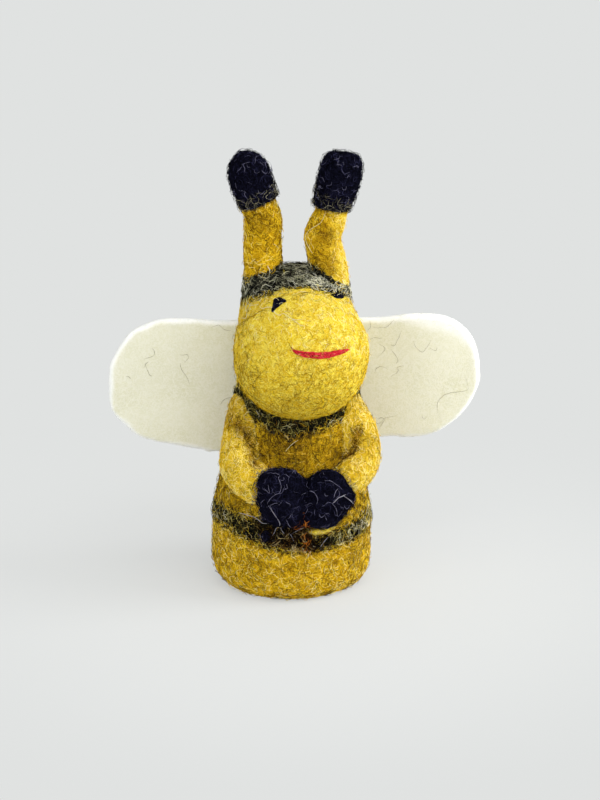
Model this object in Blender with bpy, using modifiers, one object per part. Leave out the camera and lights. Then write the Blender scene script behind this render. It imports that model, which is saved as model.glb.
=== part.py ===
"""A wet-felted wool bee finger puppet, standing on the open hem of its hollow body.

The puppet faces -Y and its own left side is +X. Everything is in metres. The body is one
hollow tube of wool with a closed crown. The face, arms, feelers and dark layers of wool are
felted onto it, and the wings are one cut sheet of felt sewn to its back.
"""

import math

import bmesh
import bpy
from mathutils import Matrix, Vector

# Clearances
GAP = 0.0003  # between two pieces of wool that are felted together
WAY_THROUGH = 0.002  # how far a cutter runs past what it cuts

# Hollow body, from the hem up
HEM_RADIUS = 0.0194  # half the width of the body at the belly
HEM_ROUND = 0.0060  # outer roll of the hem
HEM_INNER_ROUND = 0.0008
HEM_FLAT = 0.0010  # the least width of the flat ring that the puppet stands on
BELLY_HEIGHT = 0.0150  # the body is straight up to here
NECK_HEIGHT = 0.0485
NECK_RADIUS = 0.0140
BROW_RISE = 0.0135  # from the neck up to the brow
BROW_RADIUS = 0.0136
TEMPLE_RISE = 0.0070  # from the brow up to where the crown starts to close
CROWN_RISE = 0.0130  # from there to the top of the head
DEPTH_SHARE = 0.94  # the body's depth over its width
LEAN = 0.0012  # how far the head stands to the puppet's left of the hem

# Finger pocket
HEM_WALL = 0.0084
NECK_WALL = 0.0045
POCKET_ROOF = 0.0200  # from the pocket's end up to the top of the head
POCKET_END_RISE = 0.0085  # height of the pocket's round end

# Layers of dark wool, which lie flush in the body
LAYER = 0.0012
BELLY_BAND_DROP = 0.0270  # from the neck down to the band's upper edge
BELLY_BAND_WIDTH = 0.0072
NECK_BAND_TOP = 0.0005  # above the neck
NECK_BAND_WIDTH = 0.0075
CAP_BRIM_RISE = 0.0015  # above the crown's start

# Face
MUZZLE_SIZE = Vector((0.0164, 0.0138, 0.0160))  # half sizes of the ball of wool
MUZZLE_DROP = 0.0076  # from the crown's start down to the ball's middle
MUZZLE_FORWARD = 0.0078  # from the head's middle to the ball's
MUZZLE_SIDE = 0.0015
EYE_PLACES = {"right": (-18.5, 33.9), "left": (62.5, 29.9)}  # degrees from the front, and up
EYE_TILTS = {"right": -35.0, "left": 4.0}
EYE_SIZES = {
    "right": Vector((0.0018, 0.0014, 0.0012)),
    "left": Vector((0.0017, 0.0014, 0.0010)),
}
MOUTH_THREAD = 0.00085  # half the thickness of the red wool at its middle
MOUTH_END_SHARE = 0.3
MOUTH_ANGLES = (-9.8, 43.0)  # degrees about the ball from the front, for its two ends
MOUTH_RISES = (21.8, 14.3)  # degrees up from the ball's middle, for its two ends
MOUTH_SAG = 4.8  # degrees that its middle hangs below a straight line

# Hands, pressed together in front
HANDS_MEET = 0.0029  # where they touch, to the puppet's left of its middle
HANDS_PRESS = 0.0005  # how far each is flattened there
HAND_DROP = 0.0201  # from the neck down to their middles
HAND_PROUD = 0.0036  # from the body's side out to their middles
HAND_TILTS = {"right": 14.0, "left": -8.0}
HAND_SIZES = {
    "right": Vector((0.0058, 0.0046, 0.0083)),
    "left": Vector((0.0062, 0.0046, 0.0071)),
}

# Arms, each from the shoulder to the palm
ARM_RADIUS = 0.0048
ARM_SHARES = (0.65, 0.90, 1.00, 1.02, 0.98, 0.70, 0.60)  # of that radius, along the arm
SHOULDERS = {"right": -66.0, "left": 72.0}  # degrees from the front
ARM_TURNS = {  # how far round from the hand to the shoulder
    "right": (1.0, 0.88, 0.75, 0.61, 0.34, 0.12, 0.02),
    "left": (1.0, 0.96, 0.90, 0.75, 0.43, 0.16, 0.02),
}
ARM_DROPS = {  # below the neck
    "right": (0.0015, 0.0055, 0.0100, 0.0145, 0.0173, 0.0187, 0.0193),
    "left": (0.0015, 0.0055, 0.0100, 0.0140, 0.0167, 0.0185, 0.0191),
}
ARM_PROUD = {  # from the body's side out to the arm's middle line
    "right": (-0.0004, 0.0002, 0.0011, 0.0023, 0.0026, 0.0021, 0.0016),
    "left": (0.0004, 0.0016, 0.0025, 0.0028, 0.0028, 0.0022, 0.0016),
}
# A shoulder's round end: how far past the first point, and the radius, as shares of its radius
SHOULDER_ROUND = ((0.9, 0.3), (0.6, 0.75))

# Feelers, from their root to their black tip
FEELER_STANDS = {"right": -0.58, "left": 0.61}  # across, as a share of the brow's radius
FEELER_ROUTES = {  # across and back from there, up from the crown's start, and the radius
    "right": (
        (0.0000, 0.0010, 0.0040, 0.0050),
        (-0.0001, 0.0012, 0.0130, 0.0046),
        (-0.0001, 0.0014, 0.0190, 0.0045),
        (-0.0002, 0.0016, 0.0240, 0.0044),
    ),
    "left": (
        (0.0000, 0.0000, 0.0040, 0.0050),
        (-0.0003, 0.0005, 0.0115, 0.0046),
        (-0.0018, 0.0012, 0.0190, 0.0043),
        (-0.0003, 0.0012, 0.0240, 0.0041),
    ),
}
FEELER_NECK = 0.0023  # from the end of that route up to the tip's lower edge
TIP_RADIUS = 0.0051
TIP_COLLAR_RADIUS = 0.0046
TIP_WALL = 0.0011  # at the collar, with the clearance
TIP_LENGTH = 0.0150
TIP_DOME_SHARE = 1.25  # the dome's height over the tip's radius
TIP_CORE_SHARE = 0.55  # how much of the tip's length the feeler fills
TIP_TILTS = {"right": -15.5, "left": 13.5}  # degrees, positive to the puppet's left

# Wings, one oval sheet
WING_SPAN = 0.0929
WING_HEIGHTS = {"right": 0.0352, "left": 0.0336}  # of the wings on the puppet's two sides
WING_THICKNESS = 0.0028
WING_DROP = 0.0029  # from the neck down to the sheet's middle
WING_ROLL = 2.1  # degrees, the puppet's left wing stands higher
WING_EDGE_ROUND = 0.0006

# Sewing thread that holds the wings
STITCH_COUNT = 4
STITCH_LENGTH = 0.0034
STITCH_PITCH = 0.0058
STITCH_RADIUS = 0.0005

# How finely curved shapes are divided
ROUND_STEPS = 32
TIP_STEPS = 20
CROWN_STEPS = 7
SIDE_STEP = 0.0042  # the most between two levels of the body's side
POCKET_STEP = 0.0070
LIMB_SIDES_RESOLUTION = 4
ROUTE_STEPS = 3
WING_END_STEPS = 14
MERGE = 0.000002  # points closer than this are one

# Levels that follow from the sizes above
BROW_HEIGHT = NECK_HEIGHT + BROW_RISE
CROWN_HEIGHT = BROW_HEIGHT + TEMPLE_RISE
HEAD_TOP = CROWN_HEIGHT + CROWN_RISE
CAP_BRIM = CROWN_HEIGHT + CAP_BRIM_RISE
NECK_BAND = (NECK_HEIGHT + NECK_BAND_TOP - NECK_BAND_WIDTH, NECK_HEIGHT + NECK_BAND_TOP)
BELLY_BAND = (NECK_HEIGHT - BELLY_BAND_DROP - BELLY_BAND_WIDTH, NECK_HEIGHT - BELLY_BAND_DROP)
WING_MIDDLE = NECK_HEIGHT - WING_DROP
HEM_ROLL = min(HEM_ROUND, HEM_WALL - HEM_INNER_ROUND - HEM_FLAT)

YELLOW = ("golden_wool", (0.62, 0.36, 0.02))
BRIGHT = ("bright_wool", (0.75, 0.52, 0.05))
DARK = ("dark_wool", (0.06, 0.06, 0.04))
BLACK = ("black_wool", (0.008, 0.008, 0.014))
RED = ("red_wool", (0.62, 0.03, 0.03))
CREAM = ("cream_felt", (0.80, 0.78, 0.66))
THREAD = ("cream_thread", (0.82, 0.80, 0.72))


# Setting up


def clear_scene():
    """Removes the objects that the file starts with."""
    for old in list(bpy.data.objects):
        bpy.data.objects.remove(old, do_unlink=True)


def new_collection(name):
    """A collection of this name in the scene."""
    made = bpy.data.collections.new(name)
    bpy.context.scene.collection.children.link(made)
    return made


def wool(look):
    """The material of a name and colour, made once."""
    name, colour = look
    material = bpy.data.materials.get(name)
    if material is None:
        material = bpy.data.materials.new(name)
        material.use_nodes = True
        shader = material.node_tree.nodes["Principled BSDF"]
        shader.inputs["Base Color"].default_value = (*colour, 1.0)
        shader.inputs["Roughness"].default_value = 0.95
        shader.inputs["Metallic"].default_value = 0.0
        material.diffuse_color = (*colour, 1.0)
    return material


def add_object(name, data, collection):
    """An object that shows this data, in the collection."""
    made = bpy.data.objects.new(name, data)
    collection.objects.link(made)
    return made


def settle(piece):
    """Turns a piece's curve or modifiers into one plain closed mesh."""
    bpy.context.view_layer.update()
    seen = piece.evaluated_get(bpy.context.evaluated_depsgraph_get())
    mesh = bpy.data.meshes.new_from_object(seen)
    mesh.transform(piece.matrix_world)
    form = bmesh.new()
    form.from_mesh(mesh)
    bmesh.ops.remove_doubles(form, verts=form.verts, dist=MERGE)
    bmesh.ops.recalc_face_normals(form, faces=form.faces)
    form.to_mesh(mesh)
    form.free()
    name, collection, look = piece.name, piece.users_collection[0], list(piece.data.materials)
    bpy.data.objects.remove(piece, do_unlink=True)
    mesh.name = name
    mesh.materials.clear()
    for material in look:
        mesh.materials.append(material)
    return add_object(name, mesh, collection)


def cut(piece, cutters):
    """Takes each cutter's space out of the piece."""
    for cutter in cutters:
        trim = piece.modifiers.new("fit_" + cutter.name, "BOOLEAN")
        trim.operation = "DIFFERENCE"
        trim.solver = "EXACT"
        trim.use_self = True
        trim.object = cutter
    return settle(piece)


def as_cutter(piece):
    """Keeps a piece as a guide that is never part of the puppet."""
    piece.hide_render = True
    piece.display_type = "WIRE"
    return piece


# The body's outline


def ease(share):
    """A smooth step from 0 to 1."""
    share = min(max(share, 0.0), 1.0)
    return share * share * (3.0 - 2.0 * share)


def outer_radius(height):
    """Half the body's width at a height above the hem's roll."""
    if height >= CROWN_HEIGHT:
        rise = min((height - CROWN_HEIGHT) / CROWN_RISE, 1.0)
        return BROW_RADIUS * math.sqrt(1.0 - rise * rise)
    if height >= NECK_HEIGHT:
        share = ease((height - NECK_HEIGHT) / (BROW_HEIGHT - NECK_HEIGHT))
        return NECK_RADIUS + (BROW_RADIUS - NECK_RADIUS) * share
    share = ease((height - BELLY_HEIGHT) / (NECK_HEIGHT - BELLY_HEIGHT))
    return HEM_RADIUS + (NECK_RADIUS - HEM_RADIUS) * share


def pocket_radius(height):
    """Half the finger pocket's width, which follows the body's outside."""
    share = min(height / NECK_HEIGHT, 1.0)
    return outer_radius(height) - (HEM_WALL + (NECK_WALL - HEM_WALL) * share)


def surface_point(angle, height, out):
    """A point this far out from the body's side, at an angle from the front."""
    turn = math.radians(angle)
    reach = outer_radius(height) + out
    return Vector((reach * math.sin(turn), -reach * DEPTH_SHARE * math.cos(turn), height))


def steps_between(low, high, most):
    """Heights from low to high, no more than this far apart, both ends included."""
    count = max(1, math.ceil((high - low) / most))
    return [low + (high - low) * i / count for i in range(count + 1)]


def crown_outline(start, inset):
    """Outline points from the top of the head down to a height, set in by this much."""
    rise = CROWN_RISE - inset
    radius = BROW_RADIUS - inset
    last = math.asin(min((start - CROWN_HEIGHT) / rise, 1.0))
    turns = [
        math.pi / 2 + (last - math.pi / 2) * i / CROWN_STEPS for i in range(CROWN_STEPS + 1)
    ]
    return [(radius * math.cos(t), CROWN_HEIGHT + rise * math.sin(t)) for t in turns]


def side_outline(low, high, inset):
    """Outline points down the body's side from high to low, set in by this much."""
    heights = reversed(steps_between(low, high, SIDE_STEP))
    return [(outer_radius(h) - inset, h) for h in heights]


def turned(name, outline, steps, look, collection):
    """An outline in (radius, height) from its top down its outer side, turned about +Z.

    An outline that doesn't begin and end on the axis is closed into a ring.
    """
    mesh = bpy.data.meshes.new(name)
    points = [(max(r, 0.0), 0.0, h) for r, h in outline]
    edges = [(i, i + 1) for i in range(len(points) - 1)]
    if max(points[0][0], points[-1][0]) > MERGE:
        edges.append((len(points) - 1, 0))
    mesh.from_pydata(points, edges, [])
    mesh.materials.append(wool(look))
    piece = add_object(name, mesh, collection)
    spin = piece.modifiers.new("turn", "SCREW")
    spin.axis = "Z"
    spin.steps = steps
    spin.render_steps = steps
    spin.use_merge_vertices = True
    spin.merge_threshold = MERGE
    return piece


def body_layer(name, outline, look, collection):
    """An outline turned about the body's axis, and as oval as the body is."""
    piece = turned(name, outline, ROUND_STEPS, look, collection)
    piece.scale.y = DEPTH_SHARE
    return settle(piece)


def body_skin(grow, cutters):
    """The whole outside of the body as one solid, larger by a clearance."""
    crown = crown_outline(CROWN_HEIGHT, -grow)
    side = side_outline(HEM_ROLL, CROWN_HEIGHT, -grow)[1:]
    foot = [(HEM_RADIUS + grow, -WAY_THROUGH), (0.0, -WAY_THROUGH)]
    return as_cutter(body_layer("body_skin", crown + side + foot, YELLOW, cutters))


def make_body(collection):
    """The hollow tube with its crown, hem, finger pocket and beds for the dark layers."""
    bed = LAYER + GAP
    outline = crown_outline(CAP_BRIM - GAP, bed)
    low_neck, high_neck = NECK_BAND
    low_belly, high_belly = BELLY_BAND
    outline += side_outline(high_neck + GAP, CAP_BRIM - GAP, 0.0)
    outline += side_outline(low_neck - GAP, high_neck + GAP, bed)
    outline += side_outline(high_belly + GAP, low_neck - GAP, 0.0)
    outline += side_outline(low_belly - GAP, high_belly + GAP, bed)
    outline += side_outline(HEM_ROLL, low_belly - GAP, 0.0)
    for i in range(1, 6):
        turn = math.pi / 2 * i / 5
        across = HEM_RADIUS - HEM_ROLL * (1 - math.cos(turn))
        outline.append((across, HEM_ROLL * (1 - math.sin(turn))))
    mouth = pocket_radius(0.0)
    for i in range(4):
        turn = math.pi / 2 * i / 3
        across = mouth + HEM_INNER_ROUND * (1 - math.sin(turn))
        outline.append((across, HEM_INNER_ROUND * (1 - math.cos(turn))))
    shoulder = HEAD_TOP - POCKET_ROOF - POCKET_END_RISE
    for height in steps_between(HEM_INNER_ROUND, shoulder, POCKET_STEP)[1:]:
        outline.append((pocket_radius(height), height))
    for i in range(1, 6):
        turn = math.pi / 2 * i / 5
        across = pocket_radius(shoulder) * math.cos(turn)
        outline.append((across, shoulder + POCKET_END_RISE * math.sin(turn)))
    return body_layer("body", outline, YELLOW, collection)


def make_band(name, low, high, collection):
    """A ring of dark wool, flush with the body's side."""
    outline = side_outline(low, high, 0.0) + list(reversed(side_outline(low, high, LAYER)))
    return body_layer(name, outline, DARK, collection)


def make_cap(collection):
    """The dark layer over the crown of the head."""
    outline = crown_outline(CAP_BRIM, 0.0) + list(reversed(crown_outline(CAP_BRIM, LAYER)))
    return body_layer("head_cap", outline, DARK, collection)


# Balls, limbs and threads


def make_ball(name, centre, size, look, collection, tilt=0.0, rings=12, sides=20):
    """An oval lump of wool. A positive tilt turns its top to the puppet's left."""
    mesh = bpy.data.meshes.new(name)
    form = bmesh.new()
    bmesh.ops.create_uvsphere(form, u_segments=sides, v_segments=rings, radius=1.0)
    turn = Matrix.Rotation(math.radians(tilt), 4, "Y")
    bmesh.ops.transform(form, matrix=turn @ Matrix.Diagonal((*size, 1.0)), verts=form.verts)
    form.to_mesh(mesh)
    form.free()
    mesh.materials.append(wool(look))
    piece = add_object(name, mesh, collection)
    piece.location = centre
    return settle(piece)


def smooth_route(points, steps):
    """A smooth curve through (place, radius) points, with this many steps between them."""
    padded = [points[0], *points, points[-1]]
    route = []
    for before, start, end, after in zip(padded, padded[1:], padded[2:], padded[3:]):
        for i in range(steps):
            t = i / steps
            weights = (
                -0.5 * t + t * t - 0.5 * t**3,
                1.0 - 2.5 * t * t + 1.5 * t**3,
                0.5 * t + 2.0 * t * t - 1.5 * t**3,
                -0.5 * t * t + 0.5 * t**3,
            )
            stops = (before, start, end, after)
            place = sum((w * s[0] for w, s in zip(weights, stops)), Vector())
            route.append((place, sum(w * s[1] for w, s in zip(weights, stops))))
    route.append(points[-1])
    return route


def make_limb(name, points, grow, look, collection, resolution=LIMB_SIDES_RESOLUTION):
    """A roll of wool along (place, radius) points, thicker by a clearance."""
    route = smooth_route(points, ROUTE_STEPS)
    data = bpy.data.curves.new(name, "CURVE")
    data.dimensions = "3D"
    data.bevel_depth = 1.0
    data.bevel_resolution = resolution
    data.use_fill_caps = True
    line = data.splines.new("POLY")
    line.points.add(len(route) - 1)
    for point, (place, radius) in zip(line.points, route):
        point.co = (*place, 1.0)
        point.radius = radius + grow
    data.materials.append(wool(look))
    return settle(add_object(name, data, collection))


def hand_angle(side):
    """Degrees from the front to a hand's middle, so that the two hands press together."""
    way = 1 if side == "left" else -1
    across = HANDS_MEET + way * (HAND_SIZES[side].x - HANDS_PRESS)
    return math.degrees(math.asin(across / (outer_radius(NECK_HEIGHT - HAND_DROP) + HAND_PROUD)))


def make_hand(side, grow, collection, name):
    """A mitten of black wool wrapped round the end of an arm."""
    size = HAND_SIZES[side] + Vector((grow, grow, grow))
    place = surface_point(hand_angle(side), NECK_HEIGHT - HAND_DROP, HAND_PROUD)
    return make_ball(name, place, size, BLACK, collection, HAND_TILTS[side])


def arm_points(side):
    """The middle line of an arm, round at its shoulder and thin inside its hand."""
    palm = hand_angle(side)
    points = []
    for turn, drop, proud, share in zip(
        ARM_TURNS[side], ARM_DROPS[side], ARM_PROUD[side], ARM_SHARES
    ):
        angle = palm + (SHOULDERS[side] - palm) * turn
        points.append((surface_point(angle, NECK_HEIGHT - drop, proud), ARM_RADIUS * share))
    shoulder, radius = points[0]
    back = (shoulder - points[1][0]).normalized()
    rounded = [(shoulder + back * radius * past, radius * share) for past, share in SHOULDER_ROUND]
    return rounded + points


def tip_axis(side):
    """The way that a feeler's black tip points."""
    tilt = math.radians(TIP_TILTS[side])
    return Vector((math.sin(tilt), 0.0, math.cos(tilt)))


def feeler_place(side, across, back, up):
    """A point of a feeler's route."""
    return Vector((BROW_RADIUS * FEELER_STANDS[side] + across, back, CROWN_HEIGHT + up))


def tip_root(side):
    """The middle of the lower edge of a feeler's black tip."""
    return feeler_place(side, *FEELER_ROUTES[side][-1][:3]) + tip_axis(side) * FEELER_NECK


def feeler_points(side):
    """The middle line of a feeler, ending as a thin core inside its black tip."""
    points = [(feeler_place(side, *point[:3]), point[3]) for point in FEELER_ROUTES[side]]
    core = TIP_COLLAR_RADIUS - TIP_WALL
    points.append((tip_root(side), core))
    points.append((tip_root(side) + tip_axis(side) * TIP_LENGTH * TIP_CORE_SHARE, core * 0.8))
    return points


def make_tip(side, collection):
    """A bullet of black wool, open below where the feeler enters it."""
    outline = []
    dome = TIP_RADIUS * TIP_DOME_SHARE
    for i in range(CROWN_STEPS + 1):
        turn = math.pi / 2 * (1 - i / CROWN_STEPS)
        outline.append((TIP_RADIUS * math.cos(turn), TIP_LENGTH - dome + dome * math.sin(turn)))
    for i in range(1, 5):
        share = ease(i / 4)
        across = TIP_RADIUS + (TIP_COLLAR_RADIUS - TIP_RADIUS) * share
        outline.append((across, (TIP_LENGTH - dome) * (1 - i / 4)))
    outline.append((0.0, 0.0))
    piece = turned(side + "_feeler_tip", outline, TIP_STEPS, BLACK, collection)
    piece.location = tip_root(side)
    piece.rotation_euler.y = math.radians(TIP_TILTS[side])
    return settle(piece)


# Face


def muzzle_centre():
    """The middle of the ball of wool that is the face."""
    return Vector((MUZZLE_SIDE, -MUZZLE_FORWARD, CROWN_HEIGHT - MUZZLE_DROP))


def make_muzzle(grow, collection, name):
    """The bright ball of wool on the front of the head."""
    size = MUZZLE_SIZE + Vector((grow, grow, grow))
    return make_ball(name, muzzle_centre(), size, BRIGHT, collection, rings=16, sides=28)


def muzzle_point(across, up):
    """A point on the ball, at degrees across from the front and up from its middle."""
    a, u = math.radians(across), math.radians(up)
    way = Vector((math.sin(a) * math.cos(u), -math.cos(a) * math.cos(u), math.sin(u)))
    return muzzle_centre() + Vector(w * s for w, s in zip(way, MUZZLE_SIZE))


def way_out(start, way, centre, size):
    """How far a line from a start leaves an oval ball, or nothing where it misses the ball."""
    apart = Vector(a / s for a, s in zip(start - centre, size))
    step = Vector(w / s for w, s in zip(way, size))
    half = apart.dot(step) / step.dot(step)
    left = half * half - (apart.dot(apart) - 1.0) / step.dot(step)
    return math.sqrt(left) - half if left >= 0.0 else 0.0


def make_eye(side, collection):
    """A spot of black wool on the crown or the face, whichever stands out further there."""
    a, u = (math.radians(angle) for angle in EYE_PLACES[side])
    way = Vector((math.sin(a) * math.cos(u), -math.cos(a) * math.cos(u), math.sin(u)))
    start = Vector((0.0, 0.0, CROWN_HEIGHT))
    crown = Vector((BROW_RADIUS, BROW_RADIUS * DEPTH_SHARE, CROWN_RISE))
    reach = max(
        way_out(start, way, start, crown),
        way_out(start, way, muzzle_centre(), MUZZLE_SIZE),
    )
    place = start + way * reach
    return make_ball(side + "_eye", place, EYE_SIZES[side], BLACK, collection, EYE_TILTS[side])


def make_mouth(collection):
    """A strand of red wool laid as a shallow smile, with thin ends."""
    points = []
    for i in range(7):
        share = i / 6
        swell = math.sin(math.pi * share)
        across = MOUTH_ANGLES[0] + (MOUTH_ANGLES[1] - MOUTH_ANGLES[0]) * share
        up = MOUTH_RISES[0] + (MOUTH_RISES[1] - MOUTH_RISES[0]) * share - MOUTH_SAG * swell
        thick = MOUTH_THREAD * (MOUTH_END_SHARE + (1 - MOUTH_END_SHARE) * swell)
        points.append((muzzle_point(across, up), thick + GAP))
    return make_limb("mouth", points, 0.0, RED, collection, resolution=2)


# Wings


def back_line():
    """How the flat sheet lies against the body's back: its tilt, and its middle's place."""
    half = max(WING_HEIGHTS.values()) / 2
    low, high = WING_MIDDLE - half, WING_MIDDLE + half
    heights = steps_between(low, high, 0.001)
    backs = [outer_radius(h) * DEPTH_SHARE for h in heights]
    slope = (backs[-1] - backs[0]) / (high - low)
    middle = max(b - slope * (h - WING_MIDDLE) for b, h in zip(backs, heights))
    tilt = math.atan(slope)
    away = (WING_THICKNESS / 2 + GAP) / math.cos(tilt)
    return tilt, Vector((0.0, middle + away, WING_MIDDLE))


def wing_frame():
    """The sheet's place: its own X is across, Y is up the sheet and Z is out at its front."""
    tilt, middle = back_line()
    upright = Matrix.Rotation(math.pi / 2 - tilt, 4, "X")
    return Matrix.Translation(middle) @ upright @ Matrix.Rotation(math.radians(WING_ROLL), 4, "Z")


def make_wings(collection):
    """One oval sheet of felt with round ends, which both wings are cut from."""
    data = bpy.data.curves.new("wings", "CURVE")
    data.dimensions = "2D"
    data.fill_mode = "BOTH"
    data.extrude = WING_THICKNESS / 2 - WING_EDGE_ROUND
    data.bevel_depth = WING_EDGE_ROUND
    data.bevel_resolution = 1
    points = []
    for side, way in (("left", 1), ("right", -1)):
        end = WING_HEIGHTS[side] / 2
        middle = WING_SPAN / 2 - end
        for i in range(WING_END_STEPS + 1):
            turn = -math.pi / 2 + math.pi * i / WING_END_STEPS
            reach = end - WING_EDGE_ROUND
            points.append((way * (middle + reach * math.cos(turn)), way * reach * math.sin(turn)))
    line = data.splines.new("POLY")
    line.points.add(len(points) - 1)
    for point, (across, up) in zip(line.points, points):
        point.co = (across, up, 0.0, 1.0)
    line.use_cyclic_u = True
    data.materials.append(wool(CREAM))
    piece = add_object("wings", data, collection)
    piece.matrix_world = wing_frame()
    return settle(piece)


def make_stitches(collection):
    """Short stitches of thread down the middle of the wings, on their back."""
    frame = wing_frame()
    out = -(WING_THICKNESS / 2 + GAP + STITCH_RADIUS)
    for i in range(STITCH_COUNT):
        middle = (i - (STITCH_COUNT - 1) / 2) * STITCH_PITCH
        points = [
            (frame @ Vector((0.0, middle + STITCH_LENGTH / 2 * along, out)), STITCH_RADIUS * share)
            for along, share in ((-1.0, 0.5), (-0.7, 0.9), (0.0, 1.0), (0.7, 0.9), (1.0, 0.5))
        ]
        make_limb(f"wing_stitch_{i + 1}", points, 0.0, THREAD, collection, resolution=1)


# Putting the puppet together


def lean(piece):
    """Shifts each level of a piece to the puppet's left, more towards the head."""
    for vertex in piece.data.vertices:
        vertex.co.x += LEAN * ease(vertex.co.z / HEAD_TOP)


def round_off(piece):
    """Shades a round piece smooth, with its sharp edges kept."""
    piece.data.shade_smooth()
    piece.data.set_sharp_from_angle(angle=math.radians(40.0))


def centre_on_hem(pieces):
    """Moves the puppet so that the origin is under the middle of its box, on the surface."""
    corners = [vertex.co for piece in pieces for vertex in piece.data.vertices]
    middle = [(min(c[i] for c in corners) + max(c[i] for c in corners)) / 2 for i in (0, 1)]
    carrier = bpy.data.objects.new("bee_carrier", None)
    bpy.context.scene.collection.objects.link(carrier)
    carrier.location = (-middle[0], -middle[1], 0.0)
    for piece in pieces:
        piece.parent = carrier


def build():
    """Makes every piece of the puppet."""
    clear_scene()
    bee = new_collection("bee_finger_puppet")
    cutters = new_collection("cutters")
    skin = body_skin(GAP, cutters)
    face_space = as_cutter(make_muzzle(GAP, cutters, "face_space"))

    make_body(bee)
    make_cap(bee)
    make_band("neck_band", *NECK_BAND, bee)
    make_band("belly_band", *BELLY_BAND, bee)
    cut(make_muzzle(0.0, bee, "muzzle"), [skin])
    cut(make_mouth(bee), [face_space])

    right_hand_space = as_cutter(make_hand("right", GAP, cutters, "right_hand_space"))
    for side in ("right", "left"):
        cut(make_eye(side, bee), [skin, face_space])

        arm_space = as_cutter(
            make_limb(side + "_arm_space", arm_points(side), GAP, YELLOW, cutters)
        )
        cut(make_limb(side + "_arm", arm_points(side), 0.0, YELLOW, bee), [skin, face_space])
        around_hand = [arm_space, skin]
        if side == "left":
            around_hand.insert(0, right_hand_space)
        cut(make_hand(side, 0.0, bee, side + "_hand"), around_hand)

        feeler_space = as_cutter(
            make_limb(side + "_feeler_space", feeler_points(side), GAP, YELLOW, cutters)
        )
        cut(make_limb(side + "_feeler", feeler_points(side), 0.0, YELLOW, bee), [skin])
        cut(make_tip(side, bee), [feeler_space])

    make_wings(bee)
    make_stitches(bee)
    pieces = list(bee.objects)
    for piece in pieces:
        lean(piece)
        round_off(piece)
    centre_on_hem(pieces)


build()
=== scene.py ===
"""Looks of the felted bee finger puppet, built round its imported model.

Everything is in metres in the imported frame: the puppet faces -Y, its own left is +X and its
hem stands on z = 0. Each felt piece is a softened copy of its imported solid, drawn out towards
its neighbours as felted wool is, and covered with loose fibres. Places and sizes in the tables
are in millimetres.
"""

import logging
import math
from collections.abc import Callable, Sequence
from dataclasses import dataclass, replace
from enum import Enum
from functools import cache

import bmesh
import bpy
import numpy as np
from bpy.types import Material, Mesh, Node, NodeSocket, NodeTree, Object
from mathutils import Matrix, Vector, noise
from mathutils.bvhtree import BVHTree


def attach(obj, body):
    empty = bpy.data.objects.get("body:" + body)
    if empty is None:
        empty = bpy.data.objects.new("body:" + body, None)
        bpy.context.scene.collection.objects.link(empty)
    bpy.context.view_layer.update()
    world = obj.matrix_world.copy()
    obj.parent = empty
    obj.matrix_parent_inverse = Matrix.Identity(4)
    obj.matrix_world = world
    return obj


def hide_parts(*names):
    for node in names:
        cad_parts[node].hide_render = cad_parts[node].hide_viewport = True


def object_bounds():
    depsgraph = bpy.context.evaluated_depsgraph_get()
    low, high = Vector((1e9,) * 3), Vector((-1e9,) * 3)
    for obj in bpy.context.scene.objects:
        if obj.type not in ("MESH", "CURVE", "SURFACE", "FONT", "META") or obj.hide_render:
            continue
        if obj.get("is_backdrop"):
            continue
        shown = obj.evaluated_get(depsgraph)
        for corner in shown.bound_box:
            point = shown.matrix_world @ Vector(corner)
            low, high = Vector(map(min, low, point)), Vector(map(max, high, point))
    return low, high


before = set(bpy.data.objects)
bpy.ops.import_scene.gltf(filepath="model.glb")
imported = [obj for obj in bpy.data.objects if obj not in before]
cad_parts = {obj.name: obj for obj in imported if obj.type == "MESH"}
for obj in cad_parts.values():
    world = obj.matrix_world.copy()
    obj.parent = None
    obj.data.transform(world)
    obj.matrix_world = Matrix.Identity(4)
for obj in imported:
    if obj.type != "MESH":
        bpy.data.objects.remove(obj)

CAD_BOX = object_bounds()
BODY = "root"
MM = 0.001
SIDES = ("right", "left")
log = logging.getLogger("bee_puppet")

Colour = tuple[int, int, int]
Place = tuple[float, float, float]
Pairs = tuple[tuple[float, float], ...]
Route = tuple[Place, ...]
Stops = tuple[tuple[float, Colour], ...]
Faces = list[tuple[int, ...]]
Reading = Callable[[np.ndarray], np.ndarray]


class Slot(Enum):
    """The material slots named for the pieces."""

    GOLDEN = "golden_wool"
    BRIGHT = "bright_wool"
    DARK = "dark_wool"
    BLACK = "black_wool"
    RED = "red_wool"
    FELT = "cream_felt"
    THREAD = "cream_thread"


class Layer(Enum):
    """The values that a felt surface carries at its points."""

    FLEECE = "fleece"  # how densely fibres lie there
    GLOW = "glow"  # how much paler the wool is drawn: paler wool, and painted light on a feeler's lit side
    SOOT = "soot"  # how much dark wool is matted in
    CREASE = "crease"  # how much painted shade it gets, in a fold or a shaded patch
    LEAN = "lean"  # lighter or darker fibres: wool of other tones, and painted light and shade


# Small sums


def linear(colour: Colour) -> tuple[float, ...]:
    """A display colour as the linear colour, with its alpha, that a shader takes."""
    shares = [c / 255 for c in colour]
    return (*(s / 12.92 if s <= 0.04045 else ((s + 0.055) / 1.055) ** 2.4 for s in shares), 1.0)


def ease(value: np.ndarray | float, low: float, high: float) -> np.ndarray:
    """A smooth step from 0 at the low value to 1 at the high one."""
    share = np.clip((np.asarray(value, float) - low) / (high - low), 0.0, 1.0)
    return share * share * (3.0 - 2.0 * share)


def waver(points: np.ndarray, grain: float, seed: float) -> np.ndarray:
    """Smooth noise from about -1 to 1 at each point, in lumps of the grain's size."""
    shift = Vector((seed * 7.31, seed * 3.17, seed * 5.77))
    return np.array([noise.noise(Vector(p) / grain + shift) for p in points])


def directions(line: np.ndarray) -> np.ndarray:
    """Which way a line runs at each of its points."""
    along = np.gradient(line, axis=0)
    return along / np.linalg.norm(along, axis=1)[:, None]


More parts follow.
